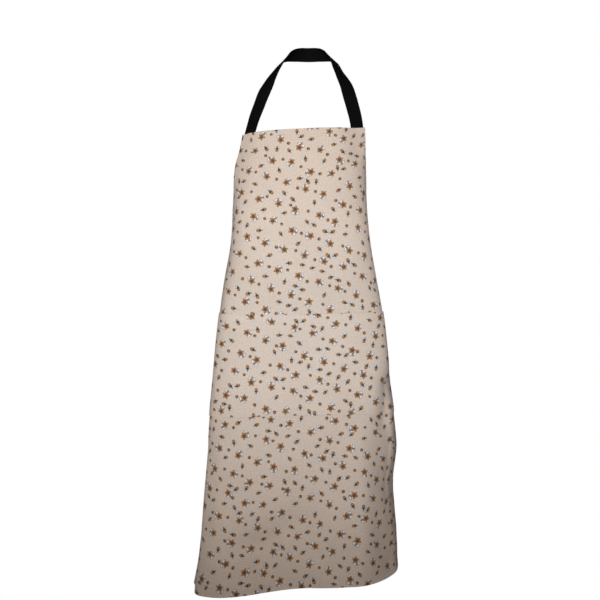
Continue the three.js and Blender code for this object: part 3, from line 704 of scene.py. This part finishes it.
    # bud in a dark cup, with two leaves
    def bud(centre, dice):
        q = motif_axes(centre, dice, (1.18, 1.38))
        drop_m, drop_l = ellipse(q, 0.0, 1.5, 2.6, 3.3)
        return lay([
            (stroke(q, 0.0, -1.0, -0.4, -5.0, 0.5), BROWN),
            leaf(q, 2.5, -2.4, 2.3, 1.15, 38),
            leaf(q, -2.5, -1.9, 2.1, 1.1, -40),
            (drop_m, BROWN),
            (g.mul(g.step(drop_l, 0.68, 0.86, 1.0, 0.0), g.step(g.math("ABSOLUTE", q[0]), 0.12, 0.42)), AMBER),
            (ellipse(q, 0.0, -0.9, 2.5, 1.9)[0], BROWN),
        ])

    mid_ink, more = bud(c_mid, d_mid), bud(c_more, d_more)
    # berry with a light on one side
    q = motif_axes(c_small, d_small, (1.08, 1.28))
    small = lay([
        (ellipse(q, 0.0, 0.0, 2.7, 2.95)[0], BROWN),
        (g.mul(ellipse(q, 0.35, 0.75, 1.8, 1.65, 0.0, 0.9)[0], 0.92), g.mix(0.25, AMBER_DEEP, AMBER)),
        (g.mul(ellipse(q, 0.9, 1.2, 0.5, 0.45)[0], 0.5), PALE),
    ])
    k_more = g.mul(more[1], g.step(d_more[2], 0.62, 0.63))
    ink = g.mix(small[1], g.mix(k_more, g.mix(mid_ink[1], big[0], mid_ink[0]), more[0]), small[0])
    cover = g.math("MAXIMUM", g.math("MAXIMUM", big[1], mid_ink[1]), g.math("MAXIMUM", k_more, small[1]))
    worn = g.step(weave, 0.0, 0.6, 0.80, 0.97)
    cover = g.mul(g.mul(cover, worn), print_amount)
    colour = g.mix(cover, base, ink)
    g.tree.links.new(colour, g.bsdf.inputs["Base Color"])
    rough = g.step(g.add(weave, g.mul(slub, 0.3)), 0.1, 1.2, 0.97, 0.86)
    g.tree.links.new(rough, g.bsdf.inputs["Roughness"])
    g.bsdf.inputs["Specular IOR Level"].default_value = 0.18
    g.bsdf.inputs["Sheen Weight"].default_value = 0.10
    g.bsdf.inputs["Sheen Roughness"].default_value = 0.55
    g.bsdf.inputs["Sheen Tint"].default_value = (0.95, 0.90, 0.84, 1.0)
    g.bump(g.add(weave, g.mul(slub, 0.55)), 0.00018, 0.55)
    return g.mat


def webbing_material(name):
    """Black woven tape: herringbone ribs across."""
    g = Graph(name)
    mm = g.vmath("SCALE", g.uv(), scale=1000.0)
    x, y, _ = g.xyz(mm)
    band = 3.1
    zig = g.math("PINGPONG", g.add(x, 100.0), band)
    rib = g.math("SINE", g.mul(g.add(y, g.mul(zig, 0.85)), 2 * math.pi / 1.55))
    rib = g.step(rib, -0.8, 0.9)
    warp = g.math("ABSOLUTE", g.math("SINE", g.mul(x, math.pi / 0.62)))
    height = g.add(g.mul(rib, 0.7), g.mul(warp, 0.3))
    fuzz = g.noise(mm, scale=0.9, detail=3)
    wear = g.noise(mm, scale=0.035, detail=2)
    # painted shade: the tape is darker in the valleys of its ribs and lighter on their tops
    col = g.mix(height, (0.0022, 0.0022, 0.0024), (0.0056, 0.0056, 0.0060))
    col = g.mix(g.mul(g.step(fuzz, 0.56, 0.8), 0.5), col, (0.0115, 0.0113, 0.0115))
    col = g.mix(g.mul(g.step(wear, 0.5, 0.75), 0.28), col, (0.0082, 0.0082, 0.0087))
    g.tree.links.new(col, g.bsdf.inputs["Base Color"])
    g.tree.links.new(g.step(height, 0.0, 1.0, 0.92, 0.78), g.bsdf.inputs["Roughness"])
    g.bsdf.inputs["Specular IOR Level"].default_value = 0.03
    g.bump(height, 0.0002, 0.45)
    return g.mat


def thread_material(name, light, dark):
    """Twisted sewing thread."""
    g = Graph(name)
    x, y, _ = g.xyz(g.uv())
    twist = g.step(g.math("SINE", g.add(g.mul(y, 26.0), g.mul(x, 2 * math.pi))), -0.7, 0.7)
    tone = g.noise(g.vec(x, 0.0), scale=1.3, detail=1)
    # painted shade: the thread is darker in the grooves of its twist and lighter on its ridges
    col = g.mix(g.mul(twist, 0.8), dark, light)
    col = g.mix(g.step(tone, 0.35, 0.7, 0.0, 0.35), col, dark)
    g.tree.links.new(col, g.bsdf.inputs["Base Color"])
    g.tree.links.new(g.step(twist, 0, 1, 0.8, 0.6), g.bsdf.inputs["Roughness"])
    g.bsdf.inputs["Specular IOR Level"].default_value = 0.3
    g.bump(twist, 0.0001, 0.5)
    return g.mat


CANVAS = canvas_material("canvas_print", 1.0, (0.0, 0.0))
CANVAS_BACK = canvas_material("canvas_back", 0.13, (0.0, 0.0))
POCKET_CLOTH = canvas_material("canvas_pocket", 1.0, (431.0, 267.0), 1.045)
WEBBING = webbing_material("webbing_black")
THREAD = thread_material("thread_natural", (0.78, 0.67, 0.56), (0.56, 0.46, 0.37))
THREAD_DARK = thread_material("thread_black", (0.022, 0.022, 0.024), (0.006, 0.006, 0.007))


# ================================================================ apron body
HEM_TICKS = np.array([0.0, 0.7, 2.2, 5.0, 8.4, 10.4, 11.5, 12.6, 13.5, 14.0, 14.6])
INNER_COLUMNS, INNER_ROWS = 128, 186


def body_grid():
    top = HEM_TICKS
    rows = np.concatenate([top, np.linspace(HEM_TICKS[-1], LENGTH - HEM_TICKS[-1], INNER_ROWS + 2)[1:-1], (LENGTH - HEM_TICKS)[::-1]])
    cols = []
    for t in rows:
        half, lean = float(half_width(t)), float(edge_lean(t))
        d = HEM_TICKS * lean
        inner = np.linspace(-(half - d[-1]), half - d[-1], INNER_COLUMNS + 2)[1:-1]
        cols.append(np.concatenate([-(half - d), inner, (half - d)[::-1]]))
    return rows, np.array(cols)


def cloth_run(points, s):
    """Length of the cloth along each row, from the middle line (mm)."""
    run = np.concatenate([np.zeros((len(points), 1)), np.cumsum(np.linalg.norm(np.diff(points, axis=1), axis=2), axis=1)], axis=1)
    return run - np.array([np.interp(0.0, a, b) for a, b in zip(s, run)])[:, None]


rows, cols = body_grid()
mid, nrm = sheet_points(rows, cols)
run = cloth_run(mid, cols)
tt = np.broadcast_to(rows[:, None], cols.shape)
d_side, d_top, d_bottom = edge_distance(tt, cols)
d_near = np.minimum(np.minimum(d_side, d_top), d_bottom)
groove = np.maximum.reduce([np.exp(-(((d - 11.5) / 0.9) ** 2)) for d in (d_side, d_top, d_bottom)])
in_hem = d_near <= HEM_DEPTH + 1e-6
step_in = np.where(in_hem, HEM_EXTRA - 0.35 * groove, 0.0)
outer = mid + nrm * (CLOTH / 2 - 0.12 * groove)[..., None]
inner = mid - nrm * (CLOTH / 2 + step_in)[..., None]
uv_out = np.stack([run, -tt], -1) * MM
# the turned layer shows the printed side, mirrored about the edge
fold_s = np.where(d_side <= HEM_DEPTH + 1e-6, 2 * np.where(cols > 0, run[:, -1:], run[:, :1]) - run, run)
fold_t = np.where(d_top <= HEM_DEPTH + 1e-6, -tt, np.where(d_bottom <= HEM_DEPTH + 1e-6, 2 * LENGTH - tt, tt))
uv_in = np.stack([np.where(in_hem, fold_s, run), -np.where(in_hem, fold_t, tt)], -1) * MM
face_hem = in_hem[:-1, :-1] & in_hem[1:, :-1] & in_hem[:-1, 1:] & in_hem[1:, 1:]
body = shell("apron_cloth", outer, inner, uv_out, uv_in, rim_directions(mid), [CANVAS, CANVAS_BACK], np.where(face_hem, 0, 1))

# ================================================================ pocket
p_rows = np.concatenate([[0, 0.7, 2.0, 5, 10, 16, 19.2, 20.2, 21.2, 22.0, 22.8], np.linspace(26, POCKET_DEEP - 12, 46),
                         POCKET_DEEP - np.array([9, 8, 7.2, 5, 3.4, 2.6, 1.8, 0.8, 0])]) + POCKET_TOP
edge = np.array([0, 0.8, 1.8, 2.6, 3.4, 5, 7.2, 8, 9])
p_cols = np.concatenate([-POCKET_HALF + edge, np.linspace(-POCKET_HALF + 13, POCKET_HALF - 13, 104), (POCKET_HALF - edge)[::-1]])
ps = np.broadcast_to(p_cols[None], (len(p_rows), len(p_cols))).copy()
pt = np.broadcast_to(p_rows[:, None], ps.shape)
pmid, pnrm = sheet_points(p_rows, ps)
p_down = (pt - POCKET_TOP) / POCKET_DEEP
p_edge = np.minimum(np.minimum(POCKET_HALF - np.abs(ps), POCKET_BOTTOM - pt), 40.0)
stand = CLOTH / 2 + 0.12 + POCKET_SLACK * (1 - (np.abs(ps) / POCKET_HALF) ** 6) * np.clip(1 - p_down, 0, 1) ** 0.7
stand = stand + 0.25 * smooth(p_edge / 10) + 0.5 * smooth(p_edge / 30) * np.sin(ps / 31.0 + 1.7 * np.sin(pt / 60.0)) * (1 - p_down)
turned = 0.12 * smooth((9.5 - p_edge) / 2.0)
d_p = np.minimum(POCKET_HALF - np.abs(ps), POCKET_BOTTOM - pt)
p_groove = np.maximum(np.exp(-(((d_p - 2.6) / 0.8) ** 2)), np.exp(-(((d_p - 8.0) / 0.8) ** 2)))
p_groove = np.maximum(p_groove, np.exp(-(((pt - POCKET_TOP - 20.2) / 0.8) ** 2)))
hem_in = pt - POCKET_TOP <= POCKET_HEM + 1e-6
p_outer = pmid + pnrm * (stand + CLOTH + turned - 0.10 * p_groove)[..., None]
p_inner = pmid + pnrm * (stand - np.where(hem_in, 0.25, 0.0) * smooth(p_edge / 12))[..., None]
sag = POCKET_SAG * (1 - (ps / POCKET_HALF) ** 2) * np.clip(1 - (pt - POCKET_TOP) / 60, 0, 1) ** 1.5
p_outer[..., 2] -= sag
p_inner[..., 2] -= sag
p_uv = np.stack([cloth_run(pmid, ps), -pt], -1) * MM
pocket = shell("pocket_cloth", p_outer, p_inner, p_uv, p_uv, rim_directions(pmid), [POCKET_CLOTH, CANVAS_BACK],
               np.ones((len(p_rows) - 1, len(p_cols) - 1), int))

# ================================================================ neck strap


def look(az, el):
    a, e = np.radians(az), np.radians(el)
    return np.stack([np.sin(a) * np.cos(e), -np.cos(a) * np.cos(e), np.sin(e)], -1)


def sewn_end(at):
    t = np.linspace(STRAP_SEWN, 0, 10)
    back = -(CLOTH / 2 + HEM_EXTRA + 0.25 + WEB_THICK / 2)
    lean = math.copysign(STRAP_LEAN, at)
    half = WEB_WIDE / 2 / math.hypot(1, lean)
    pa, na, _, _ = at_points(t + half * lean, at + lean * t - half)
    pb, nb, _, _ = at_points(t - half * lean, at + lean * t + half)
    pc, nc, _, _ = at_points(t, at + lean * t)
    a, b = pa + na * back, pb + nb * back
    return (a + b) / 2, unit(b - a), nc, pc


strap_rows = np.array(STRAP_ROWS, float)
l_mid, l_across, l_n, _ = sewn_end(STRAP_AT[0])
r_mid, r_across, r_n, _ = sewn_end(STRAP_AT[1])
ctrl = np.concatenate([l_mid[[0, 5, 9]], strap_rows[:, :3], r_mid[[9, 5, 0]]])
looks = np.concatenate([l_n[[0, 5, 9]], look(strap_rows[:, 3], strap_rows[:, 4]), r_n[[9, 5, 0]]])
s_pts, s_k, s_keys, strap_len = curve_through(ctrl, 260)
s_n = np.stack([through(s_keys, looks[:, i], s_k) for i in range(3)], 1)
s_tan = unit(np.gradient(s_pts, axis=0))
s_n = unit(s_n - (s_n * s_tan).sum(1, keepdims=True) * s_tan)
s_across = unit(np.cross(s_n, s_tan))
strap_parts = [ribbon(s_pts, s_across, s_n, WEB_WIDE, WEB_THICK, cup=0.35, edge_wave=0.06)]
v, q, u, t3 = join(strap_parts)
strap = make_object("neck_strap_webbing", v, q, u, [WEBBING], None, 60, t3)

# ================================================================ waist ties and bow
row_t, xs_t, ys_t, run_t, start_t, _, _ = sections([TIE_DROP])
TOTAL, START = run_t[0, -1], start_t[0]
knot_back = hang([TIE_DROP], np.array([[-START + KNOT_SHIFT]]))[0, 0]
KNOT_AT = knot_back + np.array([0, KNOT_OFF, 0])


def tie(sign):
    back = -(CLOTH / 2 + HEM_EXTRA + 0.25 + WEB_THICK / 2)
    s_in = sign * np.linspace(SKIRT_HALF - 34, SKIRT_HALF, 12)
    p, n, _, _ = at_points(np.full_like(s_in, TIE_DROP), s_in)
    sewn = p + n * back
    to_knot = (TOTAL - START if sign > 0 else -START) + KNOT_SHIFT - sign * (KNOT_WIDE / 2 - 5)
    u = np.linspace(0, 1, 40)[1:]
    s = sign * SKIRT_HALF + (to_knot - sign * SKIRT_HALF) * u
    tq = np.full_like(s, TIE_DROP)
    free = hang(tq, s[:, None])[:, 0]
    d = hang(tq, (s + 1)[:, None])[:, 0] - hang(tq, (s - 1)[:, None])[:, 0]
    nf = unit(np.cross(np.array([0, 0, -1.0])[None], d))
    fold0 = fold_height(TIE_DROP, np.array([sign * SKIRT_HALF]))[0]
    free = free + nf * ((back + fold0) * (1 - smooth(u * 1.5)))[:, None]
    free[:, 1] += (KNOT_OFF + TIE_IN) * smooth(u)
    free[:, 2] += -1.5 * np.sin(math.pi * u)
    pts = np.concatenate([sewn, free])
    nn = np.concatenate([n, nf])
    tan = unit(np.gradient(pts, axis=0))
    nn = unit(nn - (nn * tan).sum(1, keepdims=True) * tan)
    pull = np.concatenate([np.zeros(len(sewn)), smooth((u - 0.35) / 0.65)])
    wide = WEB_WIDE - (WEB_WIDE - TIE_NECK) * pull
    return ribbon(pts, unit(np.cross(nn, tan)), nn, wide, WEB_THICK + 0.5 * pull, cup=0.3 + 3.2 * pull, edge_wave=0.06, seed=5 + sign)


ties = {}
for side, sign in (("left", -1), ("right", 1)):
    v, q, u, t3 = tie(sign)
    ties[side] = make_object(f"waist_tie_{side}_webbing", v, q, u, [WEBBING], None, 60, t3)


def ear(sign):
    down = math.radians(EAR_DROOP)
    pts = [[sign * x * math.cos(down), y, -x * math.sin(down)] for x, y in EAR_ROWS]
    p, k, keys, length = curve_through(pts, 110)
    w = np.broadcast_to(np.array([sign * math.sin(down), 0, math.cos(down)]), p.shape)
    tan = unit(np.gradient(p, axis=0))
    w = unit(w - (w * tan).sum(1, keepdims=True) * tan)
    n = unit(np.cross(tan, w)) * (1 if sign > 0 else -1)
    u = np.linspace(0, 1, len(p))
    open_ = smooth(np.minimum(u, 1 - u) / 0.22)
    wide = WEB_WIDE * (0.56 + 0.44 * open_)
    out = np.sign((n * np.array([0, 1.0, 0])).sum(1))
    bulge = np.where(u < 0.5, 1, -1)
    return ribbon(p, unit(np.cross(n, tan)), n, wide, WEB_THICK, cup=4.0 * (1 - open_) * 1.0 + 0.5, edge_wave=0.06, seed=7 + sign)


def tail(rows_, seed):
    r = np.array(rows_, float)
    p, k, keys, length = curve_through(r[:, :3], 120)
    tw = np.radians(through(keys, r[:, 3], k))
    w = np.stack([np.cos(tw), np.sin(tw), np.zeros_like(tw)], 1)
    tan = unit(np.gradient(p, axis=0))
    w = unit(w - (w * tan).sum(1, keepdims=True) * tan)
    n = unit(np.cross(w, tan))
    n *= np.sign(n[:, 1:2])
    u = np.linspace(0, 1, len(p))
    open_ = smooth(u / 0.16)
    wide = WEB_WIDE * (0.56 + 0.44 * open_)
    thick = WEB_THICK + 1.1 * (u > 1 - 13.0 / length)
    return ribbon(p, unit(np.cross(n, tan)), n, wide, thick, cup=3.6 * (1 - open_) + 0.4, edge_wave=0.07, seed=seed), (p, tan, n, w, length)


def knot_wrap():
    """Band of webbing drawn round the crossing."""
    a = np.linspace(math.radians(-200), math.radians(200), 90)
    grow = 1 + 0.035 * (a / math.pi)
    p = np.stack([2.6 * np.sin(a), 0.5 + 9.0 * grow * np.cos(a), 12.6 * grow * np.sin(a)], 1)
    tan = unit(np.gradient(p, axis=0))
    n = unit(np.stack([np.zeros_like(a), np.cos(a) / 9.0, np.sin(a) / 12.6], 1))
    n = unit(n - (n * tan).sum(1, keepdims=True) * tan)
    wide = 20.5 + 1.8 * np.cos(2 * a)
    return ribbon(p, unit(np.cross(n, tan)), n, wide, WEB_THICK, cup=2.6 + 0.7 * np.sin(3 * a), edge_wave=0.1, seed=21)


tail_l, info_l = tail(TAIL_ROWS["left"], 31)
tail_r, info_r = tail(TAIL_ROWS["right"], 37)


def knot_core():
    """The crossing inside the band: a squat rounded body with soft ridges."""
    nu, nv = 40, 24
    uu = np.linspace(0, 2 * math.pi, nu, endpoint=False)
    vv = np.linspace(-math.pi / 2, math.pi / 2, nv + 1)
    ca, sa = np.cos(uu), np.sin(uu)
    pts = []
    for b in vv:
        cb, sb = math.cos(b), math.sin(b)
        ridge = 1 + 0.05 * np.cos(5 * uu)
        x = 14.5 * np.sign(sb) * abs(sb) ** 0.7 * np.ones_like(uu)
        pts.append(np.stack([x, 7.4 * cb**0.6 * ca * ridge + 0.5, 10.6 * cb**0.6 * sa * ridge], 1))
    p = np.array(pts)
    idx = np.arange(p.shape[0] * nu).reshape(p.shape[0], nu)
    nx = np.roll(np.arange(nu), -1)
    q = np.stack([idx[1:-2], idx[1:-2][:, nx], idx[2:-1][:, nx], idx[2:-1]], -1).reshape(-1, 4)
    flat = p.reshape(-1, 3)
    uvq = np.stack([flat[q][..., 0], np.arctan2(flat[q][..., 2], flat[q][..., 1]) * 9.0], -1) * MM
    tri = [[idx[1, j], idx[0, 0], idx[1, nx[j]]] for j in range(nu)] + [[idx[-2, j], idx[-2, nx[j]], idx[-1, 0]] for j in range(nu)]
    tri = np.array(tri)
    keep = np.unique(np.concatenate([q.ravel(), tri.ravel()]))
    remap = np.full(len(flat), -1)
    remap[keep] = np.arange(len(keep))
    return flat[keep], remap[q], uvq, remap[tri]


v, q, u, t3 = join([ear(1), ear(-1), tail_l, tail_r, knot_wrap(), knot_core()])
bow = make_object("waist_bow_webbing", v + KNOT_AT, q, u, [WEBBING], None, 60, t3)

# ================================================================ stitching
STITCH, THREAD_R = 3.1, 0.26


def even(path_t, path_s, pitch=STITCH, trim=2.0):
    """Evenly spaced places along a line on the flat cloth, from a fine list of its points."""
    run = np.concatenate([[0], np.cumsum(np.hypot(np.diff(path_t), np.diff(path_s)))])
    k = np.arange(trim, run[-1] - trim, pitch)
    return np.interp(k, run, path_t), np.interp(k, run, path_s)


def seam(path_t, path_s, out, inside=None, pitch=STITCH, extra=None):
    """Stitches along a line, on the outer face and, where asked, on the inner face."""
    t, s = even(np.asarray(path_t, float), np.asarray(path_s, float), pitch)
    p, n, _, _ = at_points(t, s)
    if extra is not None:
        p = p + extra(t, s, n)
    along = unit(np.gradient(p, axis=0))
    sets = [stitch_mesh(p + n * out, along, n, pitch * 0.80, THREAD_R)]
    if inside is not None:
        sets.append(stitch_mesh(p - n * inside, along, -n, pitch * 0.80, THREAD_R))
    return sets


fine = np.linspace(0, 1, 400)
HEM_LINE = 11.5
face_out, face_in = CLOTH / 2 - 0.12, CLOTH / 2 + HEM_EXTRA - 0.35
sets = []
tl = HEM_LINE + (LENGTH - 2 * HEM_LINE) * fine
for sign in (-1, 1):
    sets += seam(tl, sign * (half_width(tl) - HEM_LINE * edge_lean(tl)), face_out, face_in)
for line, w in ((HEM_LINE, float(half_width(HEM_LINE)) - HEM_LINE), (LENGTH - HEM_LINE, SKIRT_HALF - HEM_LINE)):
    sets += seam(np.full(400, line), -w + 2 * w * fine, face_out, face_in)
# boxes that hold the strap ends and the ties, sewn through the hem
for at in STRAP_AT:
    for a, b in (((4, at - 9.5), (4, at + 9.5)), ((26, at - 9.5), (26, at + 9.5)), ((4, at - 9.5), (26, at - 9.5)),
                 ((4, at + 9.5), (26, at + 9.5)), ((4, at - 9.5), (26, at + 9.5)), ((26, at - 9.5), (4, at + 9.5))):
        t_box = a[0] + (b[0] - a[0]) * fine
        sets += seam(t_box, a[1] + (b[1] - a[1]) * fine + math.copysign(STRAP_LEAN, at) * t_box, CLOTH / 2, None, 2.4)
for sign in (-1, 1):
    s0, s1, t0, t1 = sign * (SKIRT_HALF - 29), sign * (SKIRT_HALF - 4), TIE_DROP - 9.5, TIE_DROP + 9.5
    for a, b in (((t0, s0), (t0, s1)), ((t1, s0), (t1, s1)), ((t0, s0), (t1, s0)), ((t0, s1), (t1, s1)),
                 ((t0, s0), (t1, s1)), ((t1, s0), (t0, s1))):
        sets += seam(a[0] + (b[0] - a[0]) * fine, a[1] + (b[1] - a[1]) * fine, CLOTH / 2, None, 2.4)
v, q, u, t3 = join(sets)
hem_thread = make_object("hem_stitching", v, q, u, [THREAD], None, None, t3)


def pocket_out(t, s, n):
    """From the body's middle to the pocket's outer face."""
    down = (t - POCKET_TOP) / POCKET_DEEP
    e = np.minimum(np.minimum(POCKET_HALF - np.abs(s), POCKET_BOTTOM - t), 40.0)
    st = CLOTH / 2 + 0.12 + POCKET_SLACK * (1 - (np.abs(s) / POCKET_HALF) ** 6) * np.clip(1 - down, 0, 1) ** 0.7
    st = st + 0.25 * smooth(e / 10) + 0.5 * smooth(e / 30) * np.sin(s / 31.0 + 1.7 * np.sin(t / 60.0)) * (1 - down)
    face = st + CLOTH + 0.12 * smooth((9.5 - e) / 2.0) - 0.10
    move = n * face[:, None]
    move[:, 2] -= POCKET_SAG * (1 - (s / POCKET_HALF) ** 2) * np.clip(1 - (t - POCKET_TOP) / 60, 0, 1) ** 1.5
    return move


p_sets = []
for off in (2.6, 8.0):
    w, b = POCKET_HALF - off, POCKET_BOTTOM - off
    t_path = np.concatenate([POCKET_TOP + 1 + (b - POCKET_TOP - 1) * fine, np.full(400, b), b - (b - POCKET_TOP - 1) * fine])
    s_path = np.concatenate([np.full(400, -w), -w + 2 * w * fine, np.full(400, w)])
    p_sets += seam(t_path, s_path, 0.0, None, STITCH, pocket_out)
p_sets += seam(np.full(400, POCKET_TOP + 20.2), -(POCKET_HALF - 10) + 2 * (POCKET_HALF - 10) * fine, 0.0, None, STITCH, pocket_out)
for sign in (-1, 1):  # bar tacks at the two ends of the mouth
    for off in (3.4, 4.2, 5.0, 5.8, 6.6):
        p_sets += seam(POCKET_TOP + 1 + 11 * fine, np.full(400, sign * (POCKET_HALF - off)), 0.0, None, 1.5, pocket_out)
v, q, u, t3 = join(p_sets)
pocket_thread = make_object("pocket_stitching", v, q, u, [THREAD], None, None, t3)

# black thread: strap ends seen from behind, and the turned ends of the tails
k_sets = []
for pts, across, nn, length in ((s_pts, s_across, s_n, strap_len),):
    run = np.concatenate([[0], np.cumsum(np.linalg.norm(np.diff(pts, axis=0), axis=1))])
    for lo, hi in ((4.0, 26.0), (length - 26.0, length - 4.0)):
        for x0, r0, x1, r1 in ((-9.5, lo, 9.5, lo), (-9.5, hi, 9.5, hi), (-9.5, lo, -9.5, hi), (9.5, lo, 9.5, hi), (-9.5, lo, 9.5, hi), (9.5, lo, -9.5, hi)):
            m = max(3, int(math.hypot(x1 - x0, r1 - r0) / 2.4))
            f = (np.arange(m) + 0.5) / m
            rr, xx = r0 + (r1 - r0) * f, x0 + (x1 - x0) * f
            c = np.stack([np.interp(rr, run, pts[:, i]) for i in range(3)], 1)
            w = unit(np.stack([np.interp(rr, run, across[:, i]) for i in range(3)], 1))
            nq = unit(np.stack([np.interp(rr, run, nn[:, i]) for i in range(3)], 1))
            p = c + w * xx[:, None] - nq * (WEB_THICK / 2 + 0.35 * (xx / 12.5)[:, None] ** 2)
            k_sets.append(stitch_mesh(p, unit(np.gradient(p, axis=0)), -nq, 1.9, THREAD_R))
for p0, tan, n0, w0, length in (info_l, info_r):
    run = np.concatenate([[0], np.cumsum(np.linalg.norm(np.diff(p0, axis=0), axis=1))])
    for rr in (length - 11.0, length - 3.0):
        c = np.array([np.interp(rr, run, p0[:, i]) for i in range(3)])
        i = int(np.argmin(abs(run - rr)))
        xx = np.arange(-10.0, 10.1, 2.4)
        for face in (1, -1):
            p = c + w0[i] * xx[:, None] + n0[i] * face * ((WEB_THICK + 1.1 * (rr > length - 13)) / 2)
            nn = np.broadcast_to(n0[i] * face, p.shape)
            k_sets.append(stitch_mesh(p + KNOT_AT, np.broadcast_to(w0[i], p.shape), nn, 1.9, THREAD_R, 0.1))
v, q, u, t3 = join(k_sets)
web_thread = make_object("webbing_stitching", v, q, u, [THREAD_DARK], None, None, t3)

# ================================================================ what stands for what
for obj, node, slot in ((body, "apron_body", "canvas"), (pocket, "pocket", "canvas"), (strap, "neck_strap", "webbing"),
                        (ties["left"], "waist_tie_left", "webbing"), (ties["right"], "waist_tie_right", "webbing"),
                        (bow, "waist_bow", "webbing")):
    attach(obj, "root")
    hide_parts(node)
for obj, slot in ((hem_thread, "canvas"), (pocket_thread, "canvas"), (web_thread, "webbing")):
    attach(obj, "root")

# ================================================================ stage, light and camera
FLOOR_Z, FLOOR_R = -1.62, 1.30


def floor():
    n = 96
    rings = np.array([0.35, 0.7, 1.0, FLOOR_R])
    a = np.linspace(0, 2 * math.pi, n, endpoint=False)
    verts = [[0, 0, FLOOR_Z]] + [[r * math.cos(x), r * math.sin(x), FLOOR_Z] for r in rings for x in a]
    quads = [[1 + k * n + j, 1 + (k + 1) * n + j, 1 + (k + 1) * n + (j + 1) % n, 1 + k * n + (j + 1) % n] for k in range(len(rings) - 1) for j in range(n)]
    tris = [[0, 1 + j, 1 + (j + 1) % n] for j in range(n)]
    mesh = bpy.data.meshes.new("floor")
    mesh.from_pydata(verts, [], quads + tris)
    obj = bpy.data.objects.new("floor", mesh)
    bpy.context.scene.collection.objects.link(obj)
    g = Graph("floor_pale")
    co = g.node("ShaderNodeTexCoord").outputs["Object"]
    tone = g.noise(co, scale=3.0, detail=3, dims="3D")
    g.tree.links.new(g.mix(tone, (0.80, 0.80, 0.80), (0.84, 0.84, 0.84)), g.bsdf.inputs["Base Color"])
    g.bsdf.inputs["Roughness"].default_value = 0.9
    g.bsdf.inputs["Emission Color"].default_value = (0.80, 0.80, 0.80, 1.0)
    # pale to the eye, with no light of its own on the cloth above it
    g.tree.links.new(g.mul(g.node("ShaderNodeLightPath").outputs["Is Camera Ray"], 0.5), g.bsdf.inputs["Emission Strength"])
    mesh.materials.append(g.mat)
    return obj


floor()

world = bpy.data.worlds.new("studio")
bpy.context.scene.world = world
world.use_nodes = True
wt = world.node_tree
wt.nodes.clear()
w_out = wt.nodes.new("ShaderNodeOutputWorld")
w_see, w_lit, w_mix = wt.nodes.new("ShaderNodeBackground"), wt.nodes.new("ShaderNodeBackground"), wt.nodes.new("ShaderNodeMixShader")
w_path = wt.nodes.new("ShaderNodeLightPath")
w_see.inputs[0].default_value, w_see.inputs[1].default_value = (1, 1, 1, 1), 1.0
w_lit.inputs[0].default_value, w_lit.inputs[1].default_value = (1.18, 0.93, 0.80, 1), 0.066
wt.links.new(w_path.outputs["Is Camera Ray"], w_mix.inputs[0])
wt.links.new(w_lit.outputs[0], w_mix.inputs[1])
wt.links.new(w_see.outputs[0], w_mix.inputs[2])
wt.links.new(w_mix.outputs[0], w_out.inputs[0])


def area_light(name, place, target, size, power, colour=(1, 1, 1)):
    data = bpy.data.lights.new(name, "AREA")
    data.shape, data.size, data.size_y = "RECTANGLE", size[0], size[1]
    data.energy, data.color = power, colour
    obj = bpy.data.objects.new(name, data)
    bpy.context.scene.collection.objects.link(obj)
    obj.location = place
    obj.rotation_mode = "QUATERNION"
    obj.rotation_quaternion = (Vector(target) - Vector(place)).to_track_quat("-Z", "Y")
    return obj


def spot_light(name, place, target, cone, power, radius, colour=(1, 1, 1)):
    data = bpy.data.lights.new(name, "SPOT")
    data.spot_size, data.spot_blend, data.shadow_soft_size = math.radians(cone), 1.0, radius
    data.energy, data.color = power, colour
    obj = bpy.data.objects.new(name, data)
    bpy.context.scene.collection.objects.link(obj)
    obj.location = place
    obj.rotation_mode = "QUATERNION"
    obj.rotation_quaternion = (Vector(target) - Vector(place)).to_track_quat("-Z", "Y")
    return obj


spot_light("key", (-0.42, -3.7, -0.02), (-0.05, -0.16, -0.11), 39.7, 533, 0.30)
spot_light("cool", (0.25, -3.6, -0.5), (-0.02, -0.17, -0.55), 11.6, 62, 0.25, (0.0, 0.48, 0.95))
spot_light("right", (1.5, -0.02, -0.41), (0.12, -0.10, -0.41), 20.0, 25, 0.20)
spot_light("left", (-1.5, -0.02, -0.28), (-0.15, -0.10, -0.28), 16.0, 7, 0.25)
spot_light("left_low", (-1.6, -0.05, -0.86), (-0.18, -0.10, -0.86), 22.0, 9, 0.25)
area_light("back", (0.3, 2.6, 0.3), (0.0, 0.0, -0.5), (1.6, 1.6), 60)

cam_data = bpy.data.cameras.new("camera")
cam = bpy.data.objects.new("camera", cam_data)
bpy.context.scene.collection.objects.link(cam)
cam_data.sensor_width = 36.0
cam_data.lens = 36.0 * 3200.0 / (600 * 2.02)
cam.location = (-0.018, -0.165 - 3.2, -0.455)
cam.rotation_euler = (math.radians(90) - math.atan(30 * 2.02 / 3200.0), 0.0, 0.0)
cam_data.clip_start, cam_data.clip_end = 0.1, 50.0
bpy.context.scene.camera = cam
bpy.context.scene.view_settings.view_transform = "Standard"
